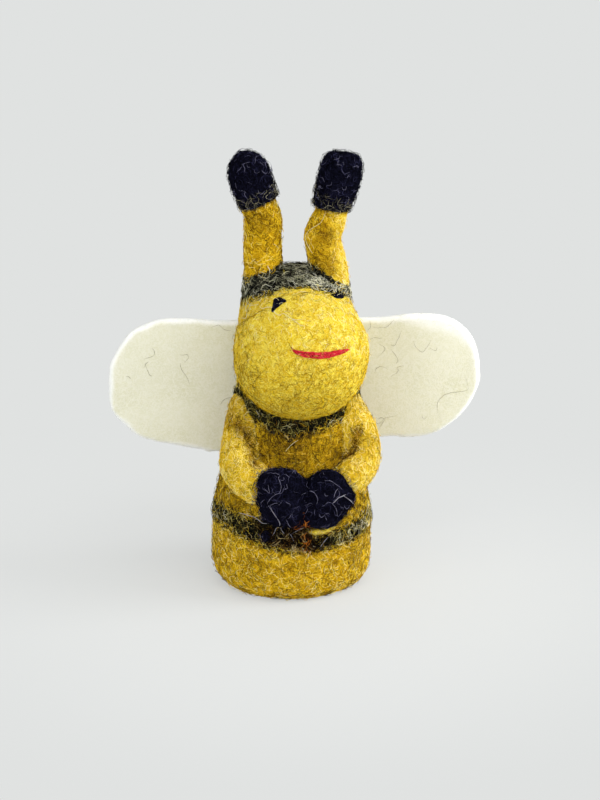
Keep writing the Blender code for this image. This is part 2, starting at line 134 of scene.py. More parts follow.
def smooth_line(route: Sequence[Sequence[float]], steps: int, closed: bool = False) -> np.ndarray:
    """A smooth line through a few places.

    Args:
        route: The places in order.
        steps: How many points the line has between two places.
        closed: Whether the line runs back to its start.

    Returns:
        The line's points, one a row.
    """
    given = np.array(route, float)
    ends = 2 * given[0] - given[1], 2 * given[-1] - given[-2]
    padded = np.vstack([given[-1], given, given[:2]] if closed else [ends[0], given, ends[1]])
    points = []
    for i in range(len(padded) - 3):
        a, b, c, d = padded[i : i + 4]
        square, cube = 2 * a - 5 * b + 4 * c - d, 3 * b - a - 3 * c + d
        for t in np.linspace(0, 1, steps, endpoint=False):
            points.append(0.5 * (2 * b + (c - a) * t + square * t * t + cube * t**3))
    return np.array(points if closed else points + [given[-1]])


def route_gaps(points: np.ndarray, route: np.ndarray) -> np.ndarray:
    """How far each point is from a line.

    Args:
        points: The places, one a row.
        route: The line's points, one a row.

    Returns:
        The distances.
    """
    out = np.full(len(points), np.inf)
    for a, b in zip(route[:-1], route[1:]):
        along = b - a
        share = np.clip((points - a) @ along / max(along @ along, 1e-18), 0.0, 1.0)
        out = np.minimum(out, np.linalg.norm(points - a - share[:, None] * along, axis=1))
    return out


# Meshes as arrays


def read_points(mesh: Mesh, name: str) -> np.ndarray:
    """Three values of each of the mesh's points, one a row."""
    flat = np.empty(len(mesh.vertices) * 3)
    mesh.vertices.foreach_get(name, flat)
    return flat.reshape(-1, 3)


def places(mesh: Mesh) -> np.ndarray:
    """The mesh's points, one a row."""
    return read_points(mesh, "co")


def normals(mesh: Mesh) -> np.ndarray:
    """The mesh's normals at its points, one a row."""
    return read_points(mesh, "normal")


def set_places(mesh: Mesh, points: np.ndarray) -> None:
    """Moves the mesh's points."""
    mesh.vertices.foreach_set("co", points.ravel())
    mesh.update()


def layer_values(mesh: Mesh, layer: Layer) -> np.ndarray:
    """One value for each point of the mesh."""
    out = np.zeros(len(mesh.vertices), np.float32)
    mesh.attributes[layer.value].data.foreach_get("value", out)
    return out


def set_layer(mesh: Mesh, layer: Layer, values: np.ndarray | float) -> None:
    """Writes one value for each point of the mesh."""
    made = mesh.attributes.get(layer.value) or mesh.attributes.new(layer.value, "FLOAT", "POINT")
    given = np.broadcast_to(np.asarray(values, np.float32), (len(mesh.vertices),))
    made.data.foreach_set("value", np.ascontiguousarray(given))


def search_tree(*meshes: Mesh) -> BVHTree:
    """A search tree over the faces of one or more meshes."""
    points, faces = [], []
    for mesh in meshes:
        base = len(points)
        points += [tuple(p) for p in places(mesh)]
        faces += [tuple(base + i for i in f.vertices) for f in mesh.polygons]
    return BVHTree.FromPolygons(points, faces)


def distances(tree: BVHTree, points: np.ndarray, reach: float) -> np.ndarray:
    """How far each point is from a surface, negative inside it.

    Args:
        tree: The surface's search tree.
        points: The places, one a row.
        reach: The furthest distance that matters.

    Returns:
        The distances, and the reach for points that are further off.
    """
    out = np.full(len(points), reach)
    for i, point in enumerate(points):
        near, normal, _, gap = tree.find_nearest(point, reach)
        if near is not None:
            out[i] = gap if (Vector(point) - near).dot(normal) >= 0 else -gap
    return out


def laid(tree: BVHTree, points: np.ndarray, heights: np.ndarray) -> np.ndarray:
    """The points moved to their heights over the surface nearest to them."""
    found = [tree.find_nearest(point) for point in points]
    return np.array([tuple(hit[0] + hit[1] * height) for hit, height in zip(found, heights)])


def add_piece(name: str, mesh: Mesh) -> Object:
    """An object in the scene that shows this mesh."""
    made = bpy.data.objects.new(name, mesh)
    bpy.context.scene.collection.objects.link(made)
    return made


def merged(mesh: Mesh, gap: float, outwards: bool) -> Mesh:
    """Merges the mesh's points that meet, and turns its faces outwards where asked.

    Args:
        mesh: The mesh.
        gap: How far apart points may lie to be merged.
        outwards: Whether the faces are turned.

    Returns:
        The same mesh.
    """
    form = bmesh.new()
    form.from_mesh(mesh)
    bmesh.ops.remove_doubles(form, verts=form.verts, dist=gap)
    if outwards:
        bmesh.ops.recalc_face_normals(form, faces=form.faces)
    form.to_mesh(mesh)
    form.free()
    return mesh


def mesh_from(name: str, points: np.ndarray, faces: Faces) -> Mesh:
    """A closed, smooth shaded mesh with its faces turned outwards.

    Args:
        name: The mesh's name.
        points: The places, one a row.
        faces: Each face's point numbers.

    Returns:
        The mesh.
    """
    mesh = bpy.data.meshes.new(name)
    mesh.from_pydata([tuple(p) for p in points], [], faces)
    merged(mesh, 0.001 * MM, outwards=True).shade_smooth()
    return mesh


def applied(piece: Object, name: str) -> Mesh:
    """The mesh that a piece shows with its modifiers, which removes the piece.

    Args:
        piece: The piece.
        name: The mesh's name.

    Returns:
        The mesh, smooth shaded.
    """
    bpy.context.view_layer.update()
    seen = piece.evaluated_get(bpy.context.evaluated_depsgraph_get())
    mesh = bpy.data.meshes.new_from_object(seen)
    bpy.data.objects.remove(piece, do_unlink=True)
    mesh.name = name
    mesh.shade_smooth()
    return mesh


def softened(node: str, voxel: float, rounds: int) -> Mesh:
    """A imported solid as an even, softly rounded skin.

    Args:
        node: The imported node's name.
        voxel: How finely the skin is divided.
        rounds: How many times it is smoothed.

    Returns:
        The new mesh.
    """
    mesh = merged(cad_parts[node].data.copy(), 0.01 * MM, outwards=False)
    piece = add_piece(node + "_copy", mesh)
    even = piece.modifiers.new("even", "REMESH")
    even.mode, even.voxel_size = "VOXEL", voxel
    soft = piece.modifiers.new("soft", "SMOOTH")
    soft.factor, soft.iterations = 0.5, rounds
    return applied(piece, node + "_skin")


def walls(sides: int, first: int, second: int) -> Faces:
    """The faces between two rings of points, which start at these point numbers."""
    turns = [(i, (i + 1) % sides) for i in range(sides)]
    return [(first + a, first + b, second + b, second + a) for a, b in turns]


def ring_faces(rows: int, sides: int) -> Faces:
    """The faces between rings of points that follow one another."""
    return [f for row in range(rows - 1) for f in walls(sides, row * sides, (row + 1) * sides)]


def shell_faces(rows: int, sides: int, rims: Sequence[int]) -> Faces:
    """The faces of two equal sheets of rings, one over the other.

    Args:
        rows: How many rings a sheet has.
        sides: How many points a ring has.
        rims: The rings where a wall joins the sheets.

    Returns:
        Each face's point numbers, where the second sheet's follow the first's.
    """
    count = rows * sides
    faces = ring_faces(rows, sides)
    faces += [tuple(count + i for i in reversed(face)) for face in faces]
    for rim in rims:
        faces += [(b, a, d, c) for a, b, c, d in walls(sides, rim * sides, count + rim * sides)]
    return faces


def tubes(name: str, routes: Sequence[tuple[np.ndarray, np.ndarray]], sides: int) -> Mesh:
    """Closed round strands along routes, as one mesh.

    Args:
        name: The mesh's name.
        routes: For each strand its points and its radius at each of them.
        sides: How many sides a strand has.

    Returns:
        The mesh.
    """
    points: list[np.ndarray] = []
    faces: Faces = []
    turns = np.linspace(0, 2 * math.pi, sides, endpoint=False)
    for line, radii in routes:
        along = directions(line)
        side = np.cross(along[0], (0.123, 0.456, 0.881))
        base = len(points)
        for here, way, radius in zip(line, along, radii):
            side = side - way * side.dot(way)
            side /= np.linalg.norm(side)
            up = np.cross(way, side)
            points += [here + radius * (math.cos(t) * side + math.sin(t) * up) for t in turns]
        last = len(points) - sides
        faces += [tuple(base + i for i in face) for face in ring_faces(len(line), sides)]
        faces.append(tuple(reversed(range(base, base + sides))))
        faces.append(tuple(range(last, last + sides)))
    return mesh_from(name, np.array(points), faces)


# Node trees


class Wiring:
    """Adds nodes to a tree and joins them."""

    def __init__(self, tree: NodeTree) -> None:
        """Starts on a tree."""
        self.tree = tree

    def add(self, kind: str, *values: object, **settings: object) -> Node:
        """Adds one node.

        Args:
            kind: Blender's name for the node.
            values: A value or a socket for each input in turn; None leaves one as it is.
            settings: The node's own settings.

        Returns:
            The node.
        """
        node = self.tree.nodes.new(kind)
        for key, setting in settings.items():
            setattr(node, key, setting)
        for socket, value in zip([s for s in node.inputs if s.enabled], values):
            self.put(socket, value)
        return node

    def put(self, socket: NodeSocket, value: object) -> None:
        """Gives an input a value, or joins it to a socket."""
        if isinstance(value, NodeSocket):
            self.tree.links.new(value, socket)
        elif value is not None:
            socket.default_value = value

    def fill(self, node: Node, values: dict[str, object]) -> Node:
        """Gives a node's inputs their values by name."""
        for name, value in values.items():
            self.put(node.inputs[name], value)
        return node

    def out(self, kind: str, *values: object, **settings: object) -> NodeSocket:
        """Adds a node and gives its first output."""
        node = self.add(kind, *values, **settings)
        return next(s for s in node.outputs if s.enabled)

    def math(self, operation: str, *values: object, clamp: bool = False) -> NodeSocket:
        """A sum of one, two or three numbers."""
        return self.out("ShaderNodeMath", *values, operation=operation, use_clamp=clamp)

    def vector(self, operation: str, *values: object) -> NodeSocket:
        """A sum of vectors."""
        return self.out("ShaderNodeVectorMath", *values, operation=operation)

    def layer(self, name: str) -> NodeSocket:
        """A shader's reading of one value that the mesh carries."""
        return self.add("ShaderNodeAttribute", attribute_name=name).outputs["Fac"]

    def noise(self, where: object, scale: object, detail: float, wander: object) -> NodeSocket:
        """Smooth noise from 0 to 1.

        Args:
            where: The place.
            scale: Lumps for each metre.
            detail: How many finer lots are added.
            wander: How far the pattern is pulled about.

        Returns:
            The noise.
        """
        given = {"Vector": where, "Scale": scale, "Detail": detail, "Distortion": wander}
        return self.fill(self.add("ShaderNodeTexNoise"), given).outputs["Fac"]

    def ramp(self, share: NodeSocket, stops: Stops) -> NodeSocket:
        """A colour that changes with a share.

        Args:
            share: A number from 0 to 1.
            stops: Places from 0 to 1 and their colours.

        Returns:
            The colour.
        """
        node = self.add("ShaderNodeValToRGB", share)
        elements = node.color_ramp.elements
        while len(elements) < len(stops):
            elements.new(0.5)
        for element, (place, colour) in zip(elements, stops):
            element.position, element.color = place, linear(colour)
        return node.outputs["Color"]

    def blend(self, share: object, first: object, second: object) -> NodeSocket:
        """A colour between two.

        Args:
            share: How far it is on the way to the second.
            first: The first colour.
            second: The second colour.

        Returns:
            The colour.
        """
        node = self.add("ShaderNodeMix", data_type="RGBA")
        for socket, value in ((0, share), (6, first), (7, second)):
            self.put(node.inputs[socket], value)
        return node.outputs[2]


def sockets(tree: NodeTree, inputs: dict[str, str], outputs: dict[str, str]) -> None:
    """Gives a group its inputs and outputs, each a name and a kind."""
    for way, named in (("INPUT", inputs), ("OUTPUT", outputs)):
        for name, kind in named.items():
            tree.interface.new_socket(name, in_out=way, socket_type="NodeSocket" + kind)


def new_material(name: str) -> tuple[Material, Wiring, Node]:
    """A new material, its wiring and its Principled shader."""
    made = bpy.data.materials.new(name)
    made.use_nodes = True
    return made, Wiring(made.node_tree), made.node_tree.nodes["Principled BSDF"]


MATTED_LOTS = ((1.0, 0.05), (1.37, 0.06), (0.71, 0.035))  # fineness and width of strands
LOT_SHIFT = (0.37, 0.71, 0.19)
STRAND_RELIEF = 0.6


@cache
def matted_group() -> NodeTree:
    """The shader group for matted wool, with its tangled strands and their height."""
    tree = bpy.data.node_groups.new("matted_strands", "ShaderNodeTree")
    inputs = {"Vector": "Vector", "Fineness": "Float", "Wander": "Float"}
    sockets(tree, inputs, {"Strands": "Float", "Height": "Float"})
    w = Wiring(tree)
    where, fineness, wander = w.add("NodeGroupInput").outputs[:3]
    strands: NodeSocket | None = None
    for i, (finer, width) in enumerate(MATTED_LOTS):
        moved = w.vector("ADD", where, [i * shift for shift in LOT_SHIFT])
        lump = w.noise(moved, w.math("MULTIPLY", fineness, finer), 1.0, wander)
        off = w.math("ABSOLUTE", w.math("SUBTRACT", lump, 0.5))
        line = w.math("SUBTRACT", 1.0, w.math("DIVIDE", off, width), clamp=True)
        strands = line if strands is None else w.math("MAXIMUM", strands, line)
    raised = w.math("MULTIPLY", strands, STRAND_RELIEF)
    w.add("NodeGroupOutput", strands, w.math("ADD", raised, w.noise(where, fineness, 3.0, 0.0)))
    return tree


@dataclass(frozen=True)
class Shades:
    """A wool's colours: between its strands, its body, and its strands."""

    hollow: Colour
    ground: Colour
    strand: Colour

    def colour(self, w: Wiring, strands: NodeSocket, lump: NodeSocket) -> NodeSocket:
        """The wool's colour, after where its strands run and a slow change over the surface."""
        deep = w.blend(lump, linear(self.hollow), linear(self.ground))
        return w.blend(strands, deep, linear(self.strand))


BRIGHT_SHADES = Shades((184, 140, 8), (230, 200, 34), (252, 236, 104))
SOOT_SHADES = Shades((4, 5, 6), (16, 17, 15), (52, 52, 40))
WHITE_SHADES = Shades((240, 242, 240), (244, 246, 244), (250, 250, 248))
# the colour of painted shade in folds and shaded patches
CREASE_SHADE_COLOUR: Colour = (88, 48, 2)
LUMP_CONTRAST = (2.4, -0.6)
CREASE_SHARE = 0.8
RAGGED_LUMPS = 900.0
RAGGED_CONTRAST = (1.4, -0.7)
RAGGED_SHARE = 0.8
SOOT_CONTRAST = (2.4, -0.7)
BUMP_STRENGTH = 0.9


@dataclass(frozen=True)
class FeltFinish:
    """A matted felt surface.

    It reads the layers that a felt surface carries, so one finish serves a piece whose wool
    changes from one place to the next, with painted shade in folds and painted light on a lit
    side.
    """

    name: str
    shades: Shades
    fineness: float = 1500.0
    wander: float = 0.8
    lumps: float = 500.0
    relief: float = 0.18 * MM
    shine: float = 0.08
    roughness: float = 0.95
    glow: Shades | None = None
    soot: Shades | None = None

    @cache
    def material(self) -> Material:
        """The finish as a material."""
        made, w, shader = new_material(self.name)
        where = w.add("ShaderNodeTexCoord").outputs["Object"]
        mat = w.add("ShaderNodeGroup", node_tree=matted_group())
        w.fill(mat, {"Vector": where, "Fineness": self.fineness, "Wander": self.wander})
        strands, height = mat.outputs
        slow = w.noise(where, self.lumps, 3.0, 0.3)
        lump = w.math("MULTIPLY_ADD", slow, *LUMP_CONTRAST, clamp=True)
        colour = self.shades.colour(w, strands, lump)
        # paler wool, and painted light where a lit side is marked
        if self.glow is not None:
            bright = self.glow.colour(w, strands, lump)
            colour = w.blend(w.layer(Layer.GLOW.value), colour, bright)
        if self.soot is not None:
            # painted shade in folds and shaded patches
            crease = w.layer(Layer.CREASE.value)
            crease = w.math("MULTIPLY", crease, CREASE_SHARE, clamp=True)
            colour = w.blend(crease, colour, linear(CREASE_SHADE_COLOUR))
            ragged = w.noise(where, RAGGED_LUMPS, 2.0, 0.6)
            ragged = w.math("MULTIPLY_ADD", ragged, *RAGGED_CONTRAST)
            ragged = w.math("MULTIPLY", ragged, RAGGED_SHARE)
            edge = w.math("ADD", w.layer(Layer.SOOT.value), ragged)
            mask = w.math("MULTIPLY_ADD", edge, *SOOT_CONTRAST, clamp=True)
            colour = w.blend(mask, colour, self.soot.colour(w, strands, lump))
        bump = w.add("ShaderNodeBump")
        w.fill(bump, {"Strength": BUMP_STRENGTH, "Distance": self.relief, "Height": height})
        w.fill(shader, {
            "Base Color": colour, "Normal": bump.outputs["Normal"],
            "Roughness": self.roughness, "Specular IOR Level": self.shine,
        })
        return made


def strand_finish(name: str, *colours: Colour) -> FeltFinish:
    """The finish of single strands, from their three shades."""
    return FeltFinish(name, Shades(*colours), fineness=2500.0)


GOLDEN_FELT = FeltFinish(
    "golden_felt", Shades((104, 66, 2), (198, 150, 4), (240, 200, 34)),
    glow=BRIGHT_SHADES, soot=SOOT_SHADES,
)
SOOT_FELT = FeltFinish("dark_felt", SOOT_SHADES, shine=0.02)
BLACK_FELT = FeltFinish(
    "black_felt", Shades((2, 2, 5), (7, 7, 15), (24, 24, 42)), shine=0.01
)
RED_FELT = FeltFinish(
    "red_strands", Shades((140, 2, 14), (214, 18, 36), (246, 78, 84)), fineness=2600.0,
    lumps=1100.0,
)
WING_FELT = FeltFinish(
    "wing_felt", Shades((217, 216, 188), (224, 223, 200), (229, 228, 210)), fineness=700.0,
    lumps=140.0, relief=0.03 * MM, glow=WHITE_SHADES,
)
THREAD_FINISH = FeltFinish(
    "sewing_thread", Shades((196, 190, 168), (232, 228, 212), (248, 246, 236)),
    fineness=3000.0, relief=0.04 * MM,
)
PALE_STRANDS = strand_finish("pale_strands", (140, 138, 160), (174, 172, 188), (214, 212, 216))
GREY_STRANDS = strand_finish("grey_strands", (70, 68, 96), (108, 106, 134), (158, 156, 176))
ORANGE_STRANDS = strand_finish("orange_strands", (150, 74, 6), (206, 112, 14), (240, 160, 48))
HAIR_STRANDS = strand_finish("thin_hairs", (132, 124, 98), (160, 152, 124), (186, 178, 150))
YELLOW_STRANDS = strand_finish(
    "yellow_strands", (236, 222, 130), (250, 240, 180), (255, 250, 214)
)
BROWN_STRANDS = strand_finish("brown_strands", (90, 60, 8), (136, 98, 16), (176, 134, 30))


@dataclass(frozen=True)
class FibreFinish:
    """Loose fibres of many tones, whose colour follows their tone and the painted shade where they
    lie.
    """

    name: str
    slot: Slot
    tones: Stops
    shaded: Stops
    shine: float = 0.12
    roughness: float = 0.8

    @cache
    def material(self) -> Material:
        """The finish as a material."""
        made, w, shader = new_material(self.name)
        tone = w.layer("tone")
        colour = w.blend(w.layer("shade"), w.ramp(tone, self.tones), w.ramp(tone, self.shaded))
        w.fill(shader, {
            "Base Color": colour, "Roughness": self.roughness, "Specular IOR Level": self.shine,
        })
        return made


GOLDEN_FIBRES = FibreFinish(
    "golden_fibres", Slot.GOLDEN,
    (
        (0.0, (54, 30, 2)), (0.15, (122, 80, 2)), (0.3, (200, 154, 6)), (0.6, (236, 196, 20)),
        (0.88, (252, 222, 66)), (1.0, (255, 240, 150)),
    ),
    ((0.0, (26, 14, 2)), (0.35, (96, 54, 4)), (0.75, (170, 112, 8)), (1.0, (226, 176, 50))),
)
BRIGHT_FIBRES = FibreFinish(
    "bright_fibres", Slot.BRIGHT,
    (
        (0.0, (132, 94, 6)), (0.1, (186, 148, 12)), (0.28, (226, 184, 12)), (0.6, (246, 214, 40)),
        (0.88, (254, 240, 118)), (1.0, (255, 250, 190)),
    ),
    ((0.0, (70, 42, 4)), (0.4, (160, 108, 8)), (1.0, (238, 196, 60))),
)
CAP_FIBRES = FibreFinish(
    "cap_fibres", Slot.DARK,
    (
        (0.0, (3, 3, 5)), (0.5, (8, 8, 12)), (0.57, (70, 72, 62)), (0.73, (162, 162, 130)),
        (0.9, (230, 226, 188)), (1.0, (250, 248, 226)),
    ),
    ((0.0, (3, 3, 4)), (0.5, (50, 46, 20)), (1.0, (150, 130, 50))), shine=0.03,
)
BAND_FIBRES = FibreFinish(
    "band_fibres", Slot.DARK,
    (
        (0.0, (3, 3, 4)), (0.55, (8, 10, 9)), (0.63, (68, 64, 28)), (0.79, (170, 156, 74)),
        (0.92, (230, 218, 146)), (1.0, (250, 244, 210)),
    ),
    ((0.0, (3, 3, 4)), (0.6, (30, 26, 12)), (1.0, (150, 126, 50))), shine=0.03,
)
BLACK_FIBRES = FibreFinish(
    "black_fibres", Slot.BLACK,
    (
        (0.0, (2, 2, 5)), (0.5, (7, 7, 16)), (0.8, (24, 24, 44)), (0.93, (54, 54, 84)),
        (1.0, (116, 114, 138)),
    ),
    ((0.0, (2, 2, 3)), (0.5, (30, 20, 10)), (1.0, (120, 92, 50))), shine=0.02,
)
ORANGE_WOOL = FibreFinish(
    "orange_wool", Slot.GOLDEN,
    ((0.0, (50, 20, 4)), (0.45, (134, 62, 10)), (0.8, (206, 116, 30)), (1.0, (236, 168, 70))),
    ((0.0, (60, 24, 4)), (1.0, (170, 90, 20))),
)
COLLAR_FIBRES = FibreFinish(
    "collar_fibres", Slot.BLACK,
    ((0.0, (8, 8, 12)), (0.4, (60, 58, 56)), (0.8, (140, 134, 108)), (1.0, (206, 200, 168))),
    ((0.0, (10, 10, 14)), (1.0, (150, 144, 110))),
)
BROWN_FIBRES = FibreFinish(
    "brown_fibres", Slot.BRIGHT, ((0.0, (40, 22, 4)), (0.5, (96, 62, 8)), (1.0, (150, 108, 20))),
    ((0.0, (30, 16, 4)), (1.0, (96, 62, 8))),
)
# dark fibres laid as painted shade in the arms' folds and under and behind the hands, and with
# brown hairs on the chest
UMBER_FIBRES = FibreFinish(
    "umber_fibres", Slot.BLACK,
    (
        (0.0, (3, 3, 5)), (0.68, (10, 8, 7)), (0.82, (48, 30, 12)), (0.94, (120, 84, 34)),
        (1.0, (206, 184, 130)),
    ),
    ((0.0, (3, 3, 5)), (1.0, (64, 40, 14))), shine=0.03,
)
HAIR_FIBRES = FibreFinish(
    "hair_fibres", Slot.DARK,
    ((0.0, (20, 18, 10)), (0.5, (62, 52, 22)), (0.85, (110, 96, 44)), (1.0, (170, 156, 90))),
    ((0.0, (14, 12, 8)), (1.0, (96, 80, 36))),
)
RED_FIBRES = FibreFinish(
    "red_fibres", Slot.RED,
    ((0.0, (120, 4, 14)), (0.4, (214, 22, 40)), (0.8, (240, 70, 80)), (1.0, (255, 150, 150))),
    ((0.0, (80, 4, 10)), (1.0, (200, 40, 50))),
)
NAP_FIBRES = FibreFinish(
    "wing_nap", Slot.FELT,
    ((0.0, (216, 214, 186)), (0.5, (234, 233, 214)), (1.0, (252, 252, 248))),
    ((0.0, (216, 214, 186)), (1.0, (252, 252, 248))),
)
# Loose fibres


FIBRE_INPUTS = (
    "Density", "Shortest", "Longest", "Bend", "Curl", "Thickness", "Low Lift", "High Lift",
    "Loose Share", "Loose Lift",
)
STRAND_VALUES = (
    "facing", "heading", "strand", "reach", "bend", "lift", "loose", "phase", "along",
)
CLUMPS = (300.0, 0.2)  # lumps of tone for each metre, and how much they change it
FINE_CLUMPS = (1000.0, 0.56)
LOWEST_TONE = 0.3
LEAST_BEND = 0.0137  # keeps a straight fibre from dividing by nothing
CURLS = 8.0
SINK = -0.4  # how much of its thickness a fibre's ends lie in the felt
FLYING_CURVE = 1.6
TAPER = -0.75
TONE_JITTER = 0.004
TONE_SHARE, TONE_START = 0.96, 0.02


@cache
def fibre_tree() -> NodeTree:
    """The geometry tree that lays curled fibres on a felt surface."""
    tree = bpy.data.node_groups.new("laid_fibres", "GeometryNodeTree")
    kinds = {"Geometry": "Geometry", **dict.fromkeys(FIBRE_INPUTS, "Float")}
    sockets(tree, {**kinds, "Steps": "Int", "Seed": "Int", "Material": "Material"},
            {"Geometry": "Geometry"})
    w = Wiring(tree)
    given = w.add("NodeGroupInput").outputs

    def read(name: str, kind: str = "FLOAT") -> NodeSocket:
        """A value that the points carry."""
        return w.out("GeometryNodeInputNamedAttribute", name, data_type=kind)

    def keep(name: str, value: NodeSocket, kind: str = "FLOAT") -> None:
        """Has the points carry one more value."""
        nonlocal points
        points = w.out(
            "GeometryNodeStoreNamedAttribute", points, None, name, value, data_type=kind
        )

    def chance(low: object, high: object, lot: int) -> NodeSocket:
        """A random value between two, for each point."""
        seed = w.math("ADD", given["Seed"], float(lot))
        return w.out("FunctionNodeRandomValue", low, high, None, seed, data_type="FLOAT")

    def swing(scale: float, amount: float) -> NodeSocket:
        """Smooth noise over the felt, to both sides of zero."""
        lump = w.noise(w.out("GeometryNodeInputPosition"), scale, 1.0, 0.0)
        return w.math("MULTIPLY_ADD", lump, amount, -amount / 2)

    surface = given["Geometry"]
    dense = w.math("MULTIPLY", given["Density"], read(Layer.FLEECE.value))
    spread = w.add("GeometryNodeDistributePointsOnFaces", surface, None, dense, given["Seed"])
    points, facing = spread.outputs["Points"], spread.outputs["Normal"]
    anyway = w.out(
        "FunctionNodeRandomValue", (-1.0,) * 3, (1.0,) * 3, None, given["Seed"],
        data_type="FLOAT_VECTOR",
    )
    heading = w.vector("NORMALIZE", w.vector("CROSS_PRODUCT", facing, anyway))
    keep("facing", facing, "FLOAT_VECTOR")
    keep("heading", heading, "FLOAT_VECTOR")
    keep("strand", w.out("GeometryNodeInputIndex"), "INT")
    keep("reach", chance(given["Shortest"], given["Longest"], 1))
    keep("bend", chance(w.math("MULTIPLY", given["Bend"], -1.0), given["Bend"], 2))
    often_low = w.math("POWER", chance(0.0, 1.0, 3), 2.0)
    span = w.math("SUBTRACT", given["High Lift"], given["Low Lift"])
    keep("lift", w.math("MULTIPLY_ADD", often_low, span, given["Low Lift"]))
    leaning = w.math("ADD", swing(*CLUMPS), swing(*FINE_CLUMPS))
    leaning = w.math("ADD", leaning, read(Layer.LEAN.value))
    tone = w.math("ADD", chance(0.0, 1.0, 4), leaning)
    tone = w.math("MAXIMUM", tone, w.math("MULTIPLY", chance(0.0, 1.0, 4), LOWEST_TONE))
    keep("tone", w.math("MINIMUM", tone, 1.0))
    keep("shade", read(Layer.CREASE.value))
    keep("loose", w.math("LESS_THAN", chance(0.0, 1.0, 5), given["Loose Share"]))
    keep("phase", chance(0.0, 6.28, 6))

    doubled = w.add("GeometryNodeDuplicateElements", points, None, given["Steps"], domain="POINT")
    last = w.math("SUBTRACT", given["Steps"], 1.0)
    points = doubled.outputs["Geometry"]
    keep("along", w.math("DIVIDE", doubled.outputs["Duplicate Index"], last))

    along, reach = read("along"), read("reach")
    bend = w.math("ADD", read("bend"), LEAST_BEND)
    turn = w.math("MULTIPLY", bend, w.math("SUBTRACT", along, 0.5))
    ahead = w.math("DIVIDE", w.math("MULTIPLY", reach, w.math("SINE", turn)), bend)
    off = w.math("SUBTRACT", 1.0, w.math("COSINE", turn))
    aside = w.math("DIVIDE", w.math("MULTIPLY", reach, off), bend)
    curl = w.math("SINE", w.math("MULTIPLY_ADD", along, CURLS, read("phase")))
    curl = w.math("MULTIPLY", w.math("MULTIPLY", reach, given["Curl"]), curl)
    way, out = read("heading", "FLOAT_VECTOR"), read("facing", "FLOAT_VECTOR")
    side = w.vector("CROSS_PRODUCT", out, way)
    place = w.out("GeometryNodeInputPosition")
    place = w.vector("ADD", place, w.vector("SCALE", way, ahead))
    place = w.vector("ADD", place, w.vector("SCALE", side, w.math("ADD", aside, curl)))
    near = w.out("GeometryNodeProximity", surface, None, place, target_element="FACES")
    upright = w.out(
        "GeometryNodeSampleNearestSurface", surface, w.out("GeometryNodeInputNormal"), None,
        place, data_type="FLOAT_VECTOR",
    )
    arch = w.math("SINE", w.math("MULTIPLY", along, math.pi))
    height = w.math("MULTIPLY", read("lift"), arch)
    height = w.math("MULTIPLY_ADD", given["Thickness"], SINK, height)
    flying = w.math("MULTIPLY", w.math("POWER", along, FLYING_CURVE), given["Loose Lift"])
    height = w.math("MULTIPLY_ADD", read("loose"), flying, height)
    placed = w.vector("ADD", near, w.vector("SCALE", upright, height))
    points = w.out("GeometryNodeSetPosition", points, None, placed)
    curves = w.out("GeometryNodePointsToCurves", points, read("strand", "INT"), along)

    centred = w.math("ABSOLUTE", w.math("MULTIPLY_ADD", read("along"), 2.0, -1.0))
    taper = w.math("MULTIPLY_ADD", w.math("POWER", centred, 3.0), TAPER, 1.0)
    thick = w.math("MULTIPLY", given["Thickness"], taper)
    round_wire = w.out("GeometryNodeCurvePrimitiveCircle", 3, 1.0, mode="RADIUS")
    strands = w.out("GeometryNodeCurveToMesh", curves, round_wire, thick, True)
    spot = []
    for name, seed in (("tone", 3), ("shade", 4)):
        jitter = w.out(
            "FunctionNodeRandomValue", -TONE_JITTER, TONE_JITTER, None, seed, data_type="FLOAT"
        )
        start = w.math("ADD", jitter, TONE_START)
        spot.append(w.math("MULTIPLY_ADD", read(name), TONE_SHARE, start))
    strands = w.out(
        "GeometryNodeStoreNamedAttribute", strands, None, "OFBake",
        w.out("ShaderNodeCombineXYZ", *spot, 0.0), data_type="FLOAT2", domain="CORNER",
    )
    strands = w.out("GeometryNodeSetShadeSmooth", strands)
    strands = w.out("GeometryNodeRealizeInstances", strands)
    w.add("NodeGroupOutput", w.out("GeometryNodeSetMaterial", strands, None, given["Material"]))
    return tree


@dataclass(frozen=True)
class Fleece:
    """How many fibres lie on a felt surface, and how, with lengths in millimetres."""

    density: float  # for each square millimetre
    length: tuple[float, float] = (1.5, 3.4)
    bend: float = 2.8
    curl: float = 0.07
    thickness: float = 0.06
    lift: tuple[float, float] = (0.04, 0.3)
    loose: float = 0.05
    loose_lift: float = 0.7
    steps: int = 5

    def lay(
        self,
        name: str,
        surface: Mesh,
        finish: FibreFinish,
        seed: int,
        where: np.ndarray | None = None,
        slot: Slot | None = None,
    ) -> Object:
        """Lays the fibres on a surface as one piece.

        Args:
            name: The piece's name.
            surface: The felt surface, which carries its fleece layer.
            finish: The fibres' finish.
            seed: Which random lot is drawn.
            where: How many of the fibres lie at each point, from 0 to 1, or None for all.
            slot: The material slot, or None for the finish's own.

        Returns:
            The piece.
        """
        tree = fibre_tree()
        ground = surface.copy()
        if where is not None:
            set_layer(ground, Layer.FLEECE, layer_values(surface, Layer.FLEECE) * where)
        piece = add_piece(name + "_ground", ground)
        made = piece.modifiers.new("fibres", "NODES")
        made.node_group = tree
        sizes = (*self.length, self.thickness, *self.lift, self.loose_lift)
        short, long, thick, low, high, flying = (size * MM for size in sizes)
        numbers = (
            self.density * 1e6, short, long, self.bend, self.curl, thick, low, high, self.loose,
            flying,
        )
        values = dict(zip(FIBRE_INPUTS, numbers))
        values |= {"Steps": self.steps, "Seed": seed, "Material": finish.material()}
        for item in tree.interface.items_tree:
            if item.in_out == "INPUT" and item.name in values:
                made[item.identifier] = values[item.name]
        mesh = applied(piece, name)
        for extra in STRAND_VALUES + tuple(layer.value for layer in Layer):
            if extra in mesh.attributes:
                mesh.attributes.remove(mesh.attributes[extra])
        return ready(add_piece(name, mesh), slot or finish.slot)


